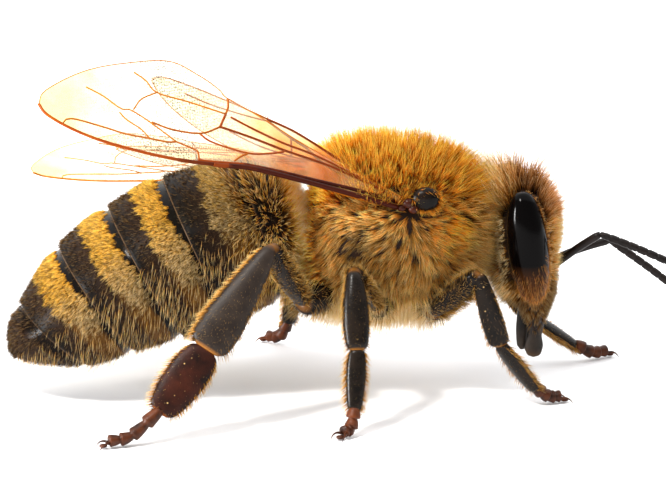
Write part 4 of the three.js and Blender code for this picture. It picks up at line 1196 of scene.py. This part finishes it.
def wing_place(side_name, a, b, lift):
    """A point of a wing: its root, plus a along it, b across it and lift over it. The plane leans as a
    roof does."""
    facts, side = WINGS[side_name], SIDES[side_name]
    root, tip, roof = np.array(facts["root"]), np.array(facts["tip"]), math.radians(facts["roof"])
    along = unit(tip - root)
    slope = np.array((0, -side * math.cos(roof), math.sin(roof)))
    across = unit(slope - along * slope.dot(along))
    over = np.cross(along, across) * side
    a, b, lift = np.broadcast_arrays(a, b, lift)
    return root + along * a[..., None] + across * b[..., None] + over * lift[..., None]


def wing_lift(a, b, level_at):
    """The wing's pleats: shallow waves across it that fade to the tip, and a slow wave along it."""
    height, across, along = PLEATS
    pleats = height * np.sin(across * b + along * a) * (1 - 0.5 * smooth(a, 4, 9))
    height, along, still = WING_HOLLOW
    return level_at + pleats + height * np.sin(a * along) * (b - still)


def membrane_shape(side_name, lead, trail, level_at, reach):
    """A wing's skin: each row runs from the front edge to the rear edge, above and then back below, as
    one closed tube squeezed flat. It also gives how far out each point lies, with the tip at the share
    called reach."""
    rows, columns = MEMBRANE_GRID
    t = np.linspace(0, 1, rows)
    front = read_rows(lead, t * (len(lead) - 1))
    rear = read_rows(trail, t * (len(trail) - 1))
    share = np.linspace(0, 1, columns)[None, :, None]
    plan = front[:, None] * (1 - share) + rear[:, None] * share
    a, b = plan[..., 0], plan[..., 1]
    top = wing_place(side_name, a, b, wing_lift(a, b, level_at) + MEMBRANE)
    foot = wing_place(side_name, a, b, wing_lift(a, b, level_at) - MEMBRANE)
    points, faces = tube(np.concatenate([top, foot[:, ::-1]], 1))
    outer = a / a.max() * reach
    return points, faces, with_poles(np.concatenate([outer, outer[:, ::-1]], 1))


def vein_shapes(side_name, veins, level_at):
    """A wing's veins: a tube through each row of points, smoothed, tapering a little, seated in the skin.
    It also gives how deep each point's colour is."""
    parts, fields = [], []
    faint = 1.0 if side_name == "right" else FAR_VEINS
    for half, deep, row in veins:
        t = np.linspace(0, len(row) - 1, 6 * (len(row) - 1) + 1)
        plan = read_rows(row, t)
        path = wing_place(side_name, plan[:, 0], plan[:, 1], wing_lift(plan[:, 0], plan[:, 1], level_at))
        far = smooth(plan[:, 0], 0.5, 9.0)
        parts.append(along_path(path, half * faint * (1.20 - 0.20 * far), VEIN_SIDES))
        # The far wing's paler veins are painted glare and blur, not a colour of their own.
        shade = np.clip(deep * (1.1 - 0.45 * far) * faint**3, 0, 1)
        fields.append(with_poles(shade, VEIN_SIDES))
    return *joined(parts), np.concatenate(fields)


def hook_shapes(side_name, level_at):
    """The row of tiny hooks that zip the hindwing to the forewing."""
    first, last, number = HOOKS
    parts = []
    for a in np.linspace(first, last, number):
        s = np.linspace(0, 1, 6)
        b = 1.62 + 0.21 * (a - first) + 0.05 * np.sin(s * 2.6)
        path = wing_place(side_name, a - 0.03 * s, b, level_at + 0.02 + 0.10 * s - 0.05 * s**2)
        parts.append(along_path(path, HOOK_HALF * (1 - 0.6 * s), 6))
    return joined(parts)


# ---- Settings ----


def length_property(name, description, millimetres):
    """A length in metres, given in millimetres."""
    return FloatProperty(name=name, description=description, default=millimetres * MM, min=0.0, precision=6,
                         subtype="DISTANCE", unit="LENGTH")


def colour_property(name, description, code):
    """A linear colour, given as sRGB hex."""
    return FloatVectorProperty(name=name, description=description, default=linear(code), size=3, min=0.0,
                               max=1.0, subtype="COLOR")


def count_property(name, description, number):
    """A number of things."""
    return IntProperty(name=name, description=description, default=number, min=1)


class HoneyBeeCoat(bpy.types.PropertyGroup):
    """Length, number and colours of the hairs in the bee's coat."""
    thorax_coat: length_property("Thorax coat", "Length of the hairs on the thorax", 0.70)
    head_coat: length_property("Head coat", "Usual length of the hairs on the head", 0.50)
    thorax_tufts: count_property("Thorax tufts", "How many tufts its top, front and underside carry", 6000)
    flank_tufts: count_property("Flank tufts", "How many tufts lie on the thorax's flanks", 3300)
    head_tufts: count_property("Head tufts", "How many tufts the head carries", 4000)
    band_tufts: count_property("Band tufts", "How many tufts make the gold bands", 15000)
    dark_tufts: count_property("Dark tufts", "How many short tufts lie on the abdomen's dark parts", 14000)
    belly_tufts: count_property("Belly tufts", "How many tufts hang on the flank and belly", 4300)
    ruff_tufts: count_property("Ruff tufts", "How many tufts make the ruff of the first plate", 1500)
    hairs_per_tuft: count_property("Hairs in a tuft", "How many hairs make one tuft", 6)
    gold: colour_property("Gold", "Shaft colour of the hairs on the thorax's top", "#ea8608")
    gold_tip: colour_property("Gold tips", "Tip colour of the hairs on the thorax's top", "#ffd254")
    flank: colour_property("Flank", "Shaft colour of the hairs on the flank", "#cc903c")
    flank_tip: colour_property("Flank tips", "Tip colour of the hairs on the flank", "#f8d084")
    cream: colour_property("Cream", "Shaft colour of the hairs below", "#ffce78")
    cream_tip: colour_property("Cream tips", "Tip colour of the hairs below", "#ffecc0")
    band: colour_property("Band", "Shaft colour of the abdomen's bands", "#dc9a20")
    band_tip: colour_property("Band tips", "Tip colour of the abdomen's bands", "#f6c854")


class HoneyBeeShell(bpy.types.PropertyGroup):
    """Colours of the bee's shell, eyes and wings."""
    dark: colour_property("Shell", "Darkest colour of the shell", "#0e0906")
    brown: colour_property("Shell brown", "Lighter colour of the shell", "#2c190e")
    foot: colour_property("Feet", "Colour of the feet", "#5e2c0e")
    eye: colour_property("Eyes", "Colour of the eyes", "#030202")
    eye_rim: colour_property("Eye's lower rim", "Colour of the eyes' lower part", "#4c2a10")
    wing: colour_property("Wing", "Tint of the clear outer wing", "#fefcf2")
    wing_root: colour_property("Wing root", "Tint of the wing near its root", "#eebe6a")
    wing_tip: colour_property("Wing tip", "Tint of the wing's very tip", "#fbf0c6")
    vein: colour_property("Thin veins", "Colour of thin veins", "#c47a14")
    vein_root: colour_property("Stout veins", "Colour of stout veins", "#350f05")


class HoneyBeeStage(bpy.types.PropertyGroup):
    """The camera, the light and the floor."""
    azimuth: FloatProperty(name="Azimuth", description="How far the camera stands round from her right side",
                           default=math.radians(-5), subtype="ANGLE", unit="ROTATION")
    elevation: FloatProperty(name="Elevation", description="How far the camera looks down",
                             default=math.radians(14), subtype="ANGLE", unit="ROTATION")
    distance: length_property("Distance", "From the camera to the bee", 150)
    width: length_property("Width seen", "How much the camera takes in at the bee", 16.24)
    key: FloatProperty(name="Key light", description="Strength of the key light", default=3.0, min=0.0)
    overhead: FloatProperty(name="Overhead light",
                            description="Strength of the broad light above and behind", default=3.3, min=0.0)
    strip: FloatProperty(name="Strip light",
                         description="Strength of the narrow light behind her, to the rear",
                         default=0.052, min=0.0)
    sky: FloatProperty(name="Surrounding light", description="Strength of the white surroundings",
                       default=0.6, min=0.0)


# ---- Operators ----

TARGET_HEIGHT = 3.52            # the camera looks at this height over the floor
SENSOR = 36.0                   # width of the camera's sensor
CLIP = (0.01, 20.0)             # nearest and farthest that the camera sees, in metres
# Suns of soft light: which setting gives their strength, their breadth in degrees, colour and direction.
SUNS = {"key_light": ("key", 7, (1.0, 0.97, 0.92), (-0.55, -0.52, 0.95)),
        "overhead_light": ("overhead", 120, (1.0, 1.0, 1.0), (0.05, 0.5, 1.0))}
STRIP_SIZE = (0.006, 0.020)     # width and height of the strip light, in metres
STRIP_PLACE = (-0.056, -0.016, 0.006)   # from the camera's target, in metres
FLOOR_HALF = 0.6                # in metres
FLOOR_CORNERS = ((-1, -1), (1, -1), (1, 1), (-1, 1))


def place_light(context, name, kind, facing, **facts):
    """Adds a light that shines from the direction called facing, with the given facts of its own."""
    light = bpy.data.lights.new(name, kind)
    for key, value in facts.items():
        setattr(light, key, value)
    lamp = bpy.data.objects.new(name, light)
    lamp.rotation_euler = Vector(facing).to_track_quat("Z", "Y").to_euler()
    context.scene.collection.objects.link(lamp)
    return lamp


class HONEYBEE_OT_stage(bpy.types.Operator):
    """Sets up the camera, the white surroundings, the three lights and the pale floor"""
    bl_idname = "honeybee.stage"
    bl_label = "Stage"

    def execute(self, context):
        settings = context.scene.honeybee_stage
        target = Vector((-MIDDLE_X, 0, TARGET_HEIGHT)) * MM
        flat = math.cos(settings.elevation)
        back = Vector((math.sin(settings.azimuth) * flat, -math.cos(settings.azimuth) * flat,
                       math.sin(settings.elevation)))
        lens = bpy.data.cameras.new("camera")
        lens.sensor_width = SENSOR
        lens.lens = SENSOR * settings.distance / settings.width
        lens.clip_start, lens.clip_end = CLIP
        camera = bpy.data.objects.new("camera", lens)
        camera.location = target + back * settings.distance
        camera.rotation_euler = back.to_track_quat("Z", "Y").to_euler()
        context.scene.collection.objects.link(camera)
        context.scene.camera = camera
        context.scene.view_settings.view_transform = "Standard"

        world = bpy.data.worlds.new("white_surroundings")
        world.use_nodes = True
        background = world.node_tree.nodes["Background"]
        background.inputs["Color"].default_value = (1.0, 1.0, 1.0, 1.0)
        background.inputs["Strength"].default_value = settings.sky
        context.scene.world = world
        for name, (setting, breadth, colour, facing) in SUNS.items():
            place_light(context, name, "SUN", facing, energy=getattr(settings, setting),
                        angle=math.radians(breadth), color=colour)
        wide, high = STRIP_SIZE
        strip = place_light(context, "strip_light", "AREA", STRIP_PLACE, shape="RECTANGLE", size=wide,
                            size_y=high, energy=settings.strip)
        strip.location = target + Vector(STRIP_PLACE)

        # White card, matt and faintly cloudy, which takes a soft shadow and gives no reflection.
        finish, tree = new_finish("floor_white_matt_card")
        place = add_node(tree, "TexCoord").node.outputs["Object"]
        cloud = add_node(tree, "TexNoise", {"Vector": place, "Scale": grains(2.0), "Detail": 3.0})
        colour = add_node(tree, "ValToRGB", {"Fac": cloud}, stops=(
            (0.0, "#f2f2f4"), (1.0, "#f9f9fa")))
        close_finish(tree, add_node(tree, "BsdfPrincipled", {"Base Color": colour, "Roughness": 0.9}))
        mesh = bpy.data.meshes.new("floor")
        mesh.from_pydata([(x * FLOOR_HALF, y * FLOOR_HALF, 0) for x, y in FLOOR_CORNERS], [], [(0, 1, 2, 3)])
        mesh.materials.append(finish)
        floor = bpy.data.objects.new("floor", mesh)
        context.scene.collection.objects.link(floor)
        return {"FINISHED"}


# Small plates that hinge the wing under its shoulder plate: middle and half sizes.
WING_HINGES = (((1.66, 1.86, 5.10), (0.15, 0.12, 0.13)), ((1.78, 1.90, 4.96), (0.13, 0.10, 0.11)),
               ((1.50, 1.82, 4.98), (0.12, 0.10, 0.08)))


def ball_shape(middle, half, rows, sides, gap):
    """A closed ball squeezed along the three axes, whose poles close a gap of this share at each end."""
    return tube(revolve(lambda t, turn: ball(middle, half, t, turn), rows, sides, gap, 1 - gap))


class HONEYBEE_OT_trunk(bpy.types.Operator):
    """Makes the thorax's skin, the neck and the shoulder plates of the wings"""
    bl_idname = "honeybee.trunk"
    bl_label = "Thorax and neck"

    def execute(self, context):
        shell = context.scene.honeybee_shell
        # Pitted chitin that shows only between the hairs: nearly black and without shine.
        skin = cuticle("thorax_cuticle_black_brown", shell.dark, shell.brown, rough=0.42, gloss=0.1)
        # Smooth bare chitin of the shoulder plates: a black bead with a small clear light.
        polished = cuticle("shoulder_plate_polished_black", "#060403", "#160d08", rough=0.24,
                           pit=0.05, depth=0.30, gloss=0.10)
        # Thin tanned chitin of the hinges: dark red-brown and glossy.
        tanned = cuticle("wing_hinge_tanned_red_brown", "#1a0905", "#44190a", rough=0.22, pit=0.05,
                         depth=0.2)
        make_piece("thorax_skin", *tube(revolve(thorax_skin, 60, 96, *TRUNK_ENDS)), skin, "thorax_fur",
                   ("prothorax", "mesothorax", "scutellum", "propodeum"))
        neck = Limb(*NECK, past=0)
        make_piece("neck_skin", *tube(revolve(neck, 14, 32)), skin, "dark_shell", ("neck",))
        for name, side in SIDES.items():
            plate = ball_shape(TEGULA_MIDDLE * (1, side, 1), TEGULA_HALF, 24, 36, 0.02)
            make_piece(f"shoulder_plate_{name}", *plate, polished, "dark_shell", (f"tegula_{name}",))
            hinges = [ball_shape(np.array(middle) * (1, side, 1), half, 14, 20, 0.03) for middle,
                      half in WING_HINGES]
            make_piece(f"wing_hinge_{name}", *joined(hinges), tanned, "dark_shell")
        return {"FINISHED"}


class HONEYBEE_OT_abdomen(bpy.types.Operator):
    """Makes the six ringed plates of the abdomen"""
    bl_idname = "honeybee.abdomen"
    bl_label = "Abdomen"

    def execute(self, context):
        # Waxed chitin of plates 1 to 5: a polished black front, then brown under the gold felt.
        banded = plate_finish("plate_cuticle_banded", "#0a0705", "#21140b", "#4e3a26",
                              "#543610", 0.07)
        # The same on the last plate, dark all along and duller, as no felt covers it.
        last = plate_finish("plate_cuticle_dark", "#0c0806", "#21140b", "#3a281a",
                            "#1c110a", 0.04)
        along, sides = PLATE_GRID
        turn = np.linspace(0, ROUND, sides, endpoint=False)
        for number in range(1, 7):
            s = np.linspace(0.0 if number == 1 else -0.06, 1.0, along)
            rings = abdomen_plate(number, s[:, None] + 0 * turn, turn[None, :] + 0 * s[:, None])
            finish, slot = (banded, "abdomen_band") if number < 6 else (last, "abdomen_shell")
            make_piece(f"abdomen_plate_{number}", *tube(rings), finish, slot, (f"abdomen_{number}",),
                       {"station": with_poles(s, sides)})
        return {"FINISHED"}


JAW = {"root": (4.98, 0.40, 1.90), "tip": (4.92, 0.14, 0.74), "wide": (0.24, 0.20, 0.17, 0.22, 0.16),
       "thick": (0.16, 0.14, 0.11, 0.10, 0.05), "bow": 0.05}
JAW_GRID = (30, 28)
SMALL_EYES = ((4.92, 0, 4.78), (4.66, -0.34, 4.86), (4.66, 0.34, 4.86))
SMALL_EYE_HALF = (0.12, 0.12, 0.12)
TONGUE_HALF = 0.20


class HONEYBEE_OT_head(bpy.types.Operator):
    """Makes the head's skin, the eyes large and small, the jaws and the tongue"""
    bl_idname = "honeybee.head"
    bl_label = "Head"

    def execute(self, context):
        shell = context.scene.honeybee_shell
        # Pitted chitin that shows only between the hairs: nearly black and without shine.
        skin = cuticle("head_cuticle_black_brown", shell.dark, shell.brown, rough=0.38, gloss=0.1)
        glossy = eye_finish("eye_lenses_black", shell.eye, shell.eye_rim)
        # Worn, thicker chitin of the jaws: dark and half dull, browner at hinge and edge.
        jaw_finish = cuticle("jaw_cuticle_red_brown", "#14100d", "#2e2620", rough=0.42,
                             ends="#5a4028")
        # One clear lens over dark pigment: a wet-looking bead.
        small = cuticle("small_eye_amber_black", "#0b0706", "#2a140a", rough=0.08, pit=0.2, depth=0.0)
        # Soft folded chitin round the tongue: brown and dull.
        brown = cuticle("tongue_cuticle_brown", "#14100d", "#30271f", rough=0.42)
        make_piece("head_skin", *tube(revolve(head_skin, 90, 128, *HEAD_ENDS)), skin, "head_fur", ("head",))
        rows, sides = JAW_GRID
        t = np.linspace(0, 1, rows)
        edge = np.repeat(0.45 * smooth(t, 0.75, 1.0) + 0.5 * smooth(t, 0.12, 0.0), sides)
        end = np.concatenate([edge, [0.5, 0.45]])
        for name, side in SIDES.items():
            eye = tube(revolve(lambda t, turn: eye_surface(side, t, turn), 56, 64, 0.012, 0.988))
            make_piece(f"compound_eye_{name}", *eye, glossy, "eye", (f"eye_{name}",))
            jaw = Limb(np.array(JAW["root"]) * (1, side, 1), np.array(JAW["tip"]) * (1, side, 1), (1, 0, 0),
                       JAW["wide"], JAW["thick"], JAW["bow"] * side, past=0.0)
            make_piece(f"jaw_{name}", *tube(revolve(jaw, rows, sides)), jaw_finish, "dark_shell",
                       (f"mandible_{name}",), {"end": end})
        beads = [ball_shape(middle, SMALL_EYE_HALF, 12, 16, 0.03) for middle in SMALL_EYES]
        make_piece("small_eyes", *joined(beads), small, "eye")
        s = np.linspace(0, 1, 24)[:, None]
        shares = ((1 - s) ** 2, 2 * s * (1 - s), s**2)
        path = sum(np.array(point) * share for point, share in zip(TONGUE, shares))
        half = TONGUE_HALF * (1 - 0.45 * s[:, 0]) * (1 - 0.5 * smooth(s[:, 0], 0.9, 1.0))
        make_piece("tongue_sheath", *along_path(path, half, 20), brown, "dark_shell", ("tongue",))
        return {"FINISHED"}


class HONEYBEE_OT_feelers(bpy.types.Operator):
    """Makes the two feelers"""
    bl_idname = "honeybee.feelers"
    bl_label = "Feelers"

    def execute(self, context):
        # Chitin set close with tiny pits that smell: black, and satin more than shiny.
        black = cuticle("feeler_cuticle_black", "#0b0807", "#1e1512", rough=0.36, pit=0.022, depth=0.6)
        for name in SIDES:
            scape, whip = feeler_shape(name)
            make_piece(f"feeler_shaft_{name}", *scape, black, "feeler", (f"scape_{name}",))
            make_piece(f"feeler_whip_{name}", *whip, black, "feeler", (f"flagellum_{name}",))
        return {"FINISHED"}


LEG_GRID = (40, 28)
JOINT_AMBER = "#b87424"


class HONEYBEE_OT_legs(bpy.types.Operator):
    """Makes the six legs, their feet and claws"""
    bl_idname = "honeybee.legs"
    bl_label = "Legs"

    def execute(self, context):
        shell = context.scene.honeybee_shell
        black, amber = ("#0b0806", "#1e150e"), JOINT_AMBER
        # Smooth waxed chitin: near-black with a low shine, amber where it thins at a joint.
        dark = cuticle("leg_cuticle_black_brown", *black, rough=0.26, pit=0.04, depth=0.35, ends=amber,
                       gloss=0.14)
        # The same with grains of pollen caught on it, seen as pale specks.
        dusty = cuticle("leg_cuticle_dusted", *black, rough=0.30, pit=0.04, depth=0.35, ends=amber,
                        gloss=0.12, dust=0.8)
        # Bare, slightly hollow face of the pollen basket: dark brown with a soft broad shine.
        basket = cuticle("pollen_basket_cuticle_brown", "#1b130f", "#2c221a", rough=0.42, pit=0.04,
                         depth=0.45, ends=amber, gloss=0.2)
        # Thinner chitin of the broad hind heel: red-brown, finely rough and dusted.
        basal = cuticle("basitarsus_cuticle_red_brown", "#150906", "#38170c", rough=0.36, pit=0.03,
                        depth=0.5, ends="#b4601c", gloss=0.12, dust=0.7)
        # Thinnest chitin, of the feet: orange-brown where the light goes through.
        foot = cuticle("foot_cuticle_orange_brown", "#1e0d06", shell.foot, rough=0.36, pit=0.03, depth=0.5,
                       gloss=0.2)
        own = {"tibia_hind": basket, "tibia_front": dusty, "basitarsus_hind": basal}
        rows, sides = LEG_GRID
        t = np.linspace(0, 1, rows)
        for name in LEG_JOINTS:
            pair = name.split("_")[0]
            for part, limb in leg_limbs(name).items():
                tint = JOINT_TINTS.get(part, OTHER_JOINT_TINT)
                near_joint = tint * smooth(t, 0.95, 1.0) + 0.25 * smooth(t, 0.05, 0.0)
                make_piece(f"leg_{part}_{name}", *tube(revolve(limb, rows, sides)),
                           own.get(f"{part}_{pair}", dark),
                           "leg", (f"{part}_{name}",), {"end": with_poles(near_joint, sides)})
            make_piece(f"foot_{name}", *foot_parts(name), foot, "foot", (f"tarsus_{name}",))
        return {"FINISHED"}


class HONEYBEE_OT_wings(bpy.types.Operator):
    """Makes the four wings: their skins, their veins and the hooks between them"""
    bl_idname = "honeybee.wings"
    bl_label = "Wings"

    def execute(self, context):
        shell = context.scene.honeybee_shell
        skin = membrane_finish("wing_membrane_clear_amber", shell.wing, shell.wing_root, shell.wing_tip)
        ribs = vein_finish("wing_vein_amber_to_maroon", shell.vein, shell.vein_root)
        for name in SIDES:
            for wing, lead, trail, veins, level_at, reach in (
                    ("forewing", FOREWING_LEAD, FOREWING_TRAIL, FOREWING_VEINS, 0.0, 1.0),
                    ("hindwing", HINDWING_LEAD, HINDWING_TRAIL, HINDWING_VEINS, HINDWING_DROP, 0.78)):
                points, faces, outer = membrane_shape(name, lead, trail, level_at, reach)
                make_piece(f"{wing}_membrane_{name}", points, faces, skin, "wing", (f"{wing}_{name}",),
                           {"outer": outer})
                points, faces, deep = vein_shapes(name, veins, level_at)
                make_piece(f"{wing}_veins_{name}", points, faces, ribs, "wing", (), {"deep": deep})
            points, faces = hook_shapes(name, HINDWING_DROP + 0.02)
            make_piece(f"wing_hooks_{name}", points, faces, ribs, "wing", (),
                       {"deep": np.full(len(points), 0.15)})
        return {"FINISHED"}


class HONEYBEE_OT_thorax_coat(bpy.types.Operator):
    """Grows the thorax's coat"""
    bl_idname = "honeybee.thorax_coat"
    bl_label = "Thorax coat"

    def execute(self, context):
        coat = context.scene.honeybee_coat
        rng = np.random.default_rng(SEEDS["thorax"])
        # Branched chitin hairs in three zones: cream below, tan with dark roots on the flank, gold on top.
        finish = hair_finish("thorax_hair_cream_to_gold", (
            ("#c08c48", coat.cream, coat.cream_tip),
            ("#171006", coat.flank, coat.flank_tip),
            ("#4a2708", coat.gold, coat.gold_tip)))
        neck = limb_hairs(rng, Limb(*NECK, past=0), 0, 700, (0.02, 0.98), (0, ROUND), length=0.45, lean=0.35,
                          zone=0.45, radius=0.0065, droop=0.2)
        shoulders = [shoulder_hairs(rng, side, 420) for side in SIDES.values()]
        hairs = all_hairs([thorax_hairs(rng, coat), neck, *shoulders])
        coat_pieces(rng, "thorax_coat", hairs, HAIR_STEPS["common"], finish, "thorax_fur")
        coat_pieces(rng, "flank_coat", flank_hairs(rng, coat), HAIR_STEPS["common"], finish, "thorax_fur")
        return {"FINISHED"}


class HONEYBEE_OT_head_coat(bpy.types.Operator):
    """Grows the head's coat and the fine hairs on the eyes"""
    bl_idname = "honeybee.head_coat"
    bl_label = "Head coat"

    def execute(self, context):
        coat = context.scene.honeybee_coat
        rng = np.random.default_rng(SEEDS["head"])
        # Branched chitin hairs in four zones: pale flecks, tan face, brown crown, orange on the eyes.
        finish = hair_finish("head_hair_fleck_tan_brown_orange", (
            ("#0c0805", "#4a3418", "#ffe8b0"),
            ("#2c1807", "#dc983e", "#ffe4a4"),
            ("#1c0e06", "#8c5626", "#c49a6c"),
            ("#2c1206", "#c88030", "#ffc060")))
        hairs = [head_hairs(rng, coat)] + [eye_hairs(rng, side, 900) for side in SIDES.values()]
        coat_pieces(rng, "head_coat", all_hairs(hairs), HAIR_STEPS["common"], finish, "head_fur")
        return {"FINISHED"}


class HONEYBEE_OT_abdomen_coat(bpy.types.Operator):
    """Grows the abdomen's bands, its short dark hairs and the long ones of its flank, belly and waist"""
    bl_idname = "honeybee.abdomen_coat"
    bl_label = "Abdomen coat"

    def execute(self, context):
        coat = context.scene.honeybee_coat
        rng = np.random.default_rng(SEEDS["abdomen"])
        # Stiffer chitin hairs that let less light through: dark brown, tan, gold bands, and a pale set
        # painted as the backlit glow of the waist's collar in the wings' shade.
        finish = hair_finish("abdomen_hair_brown_to_gold", (
            ("#140c06", "#3c2612", "#744e28"),
            ("#4a3418", "#c89e5c", "#f6dca4"),
            ("#7c4a0c", coat.band, coat.band_tip),
            ("#b0701c", "#ffc860", "#fff8dc")), glow=0.35)
        felt = abdomen_felt(rng, coat)
        fringe = abdomen_fringe(rng, coat)
        coat_pieces(rng, "abdomen_felt", felt, HAIR_STEPS["short"], finish, "abdomen_band")
        coat_pieces(rng, "abdomen_fringe", fringe, HAIR_STEPS["long"], finish, "abdomen_band")
        return {"FINISHED"}


class HONEYBEE_OT_leg_coat(bpy.types.Operator):
    """Grows the hairs, brushes and fringes of the legs"""
    bl_idname = "honeybee.leg_coat"
    bl_label = "Leg coat"

    def execute(self, context):
        rng = np.random.default_rng(SEEDS["legs"])
        # Stout chitin bristles, the least clear of all: brown, tan fringes, orange brushes.
        finish = hair_finish("leg_hair_brown_to_orange", (
            ("#1c120a", "#6a4826", "#c09a60"),
            ("#5a3610", "#dca044", "#ffe29a"),
            ("#5a1f06", "#c8601a", "#f2a044")), glow=0.3)
        groups, index = [], 0
        for name in LEG_JOINTS:
            for part, limb in leg_limbs(name).items():
                kind = "basket" if part == "tibia" and name.startswith("hind") else part
                for count, t_span, turns, *looks in LEG_HAIRS[kind]:
                    groups.append(limb_hairs(rng, limb, index, count, t_span, LEG_HAIR_SIDES[turns], *looks))
                index += 1
        coat_pieces(rng, "leg_hair", all_hairs(groups), HAIR_STEPS["short"], finish, "leg")
        return {"FINISHED"}


class HONEYBEE_PT_panel(bpy.types.Panel):
    """The bee's settings and the steps that build it"""
    bl_idname = "HONEYBEE_PT_panel"
    bl_label = "Honey bee"
    bl_space_type = "VIEW_3D"
    bl_region_type = "UI"
    bl_category = "Honey bee"

    def draw(self, context):
        for group in (context.scene.honeybee_stage, context.scene.honeybee_shell,
                      context.scene.honeybee_coat):
            box = self.layout.box()
            for key in group.bl_rna.properties.keys():
                if key not in ("rna_type", "name"):
                    box.prop(group, key)
        for step in STEPS:
            self.layout.operator(step.bl_idname)


SETTINGS = (HoneyBeeCoat, HoneyBeeShell, HoneyBeeStage)
STEPS = (HONEYBEE_OT_stage, HONEYBEE_OT_trunk, HONEYBEE_OT_abdomen, HONEYBEE_OT_head, HONEYBEE_OT_feelers,
         HONEYBEE_OT_legs, HONEYBEE_OT_wings, HONEYBEE_OT_thorax_coat, HONEYBEE_OT_head_coat,
         HONEYBEE_OT_abdomen_coat, HONEYBEE_OT_leg_coat)


def register():
    """Registers the settings, the steps and the panel."""
    for kind in (*SETTINGS, *STEPS, HONEYBEE_PT_panel):
        bpy.utils.register_class(kind)
    bpy.types.Scene.honeybee_coat = PointerProperty(type=HoneyBeeCoat)
    bpy.types.Scene.honeybee_shell = PointerProperty(type=HoneyBeeShell)
    bpy.types.Scene.honeybee_stage = PointerProperty(type=HoneyBeeStage)


def unregister():
    """Takes the settings, the steps and the panel away."""
    del bpy.types.Scene.honeybee_stage
    del bpy.types.Scene.honeybee_shell
    del bpy.types.Scene.honeybee_coat
    for kind in reversed((*SETTINGS, *STEPS, HONEYBEE_PT_panel)):
        bpy.utils.unregister_class(kind)


def main():
    """Builds the bee step by step."""
    register()
    for step in STEPS:
        group, name = step.bl_idname.split(".")
        getattr(getattr(bpy.ops, group), name)()


if __name__ == "__main__":
    main()
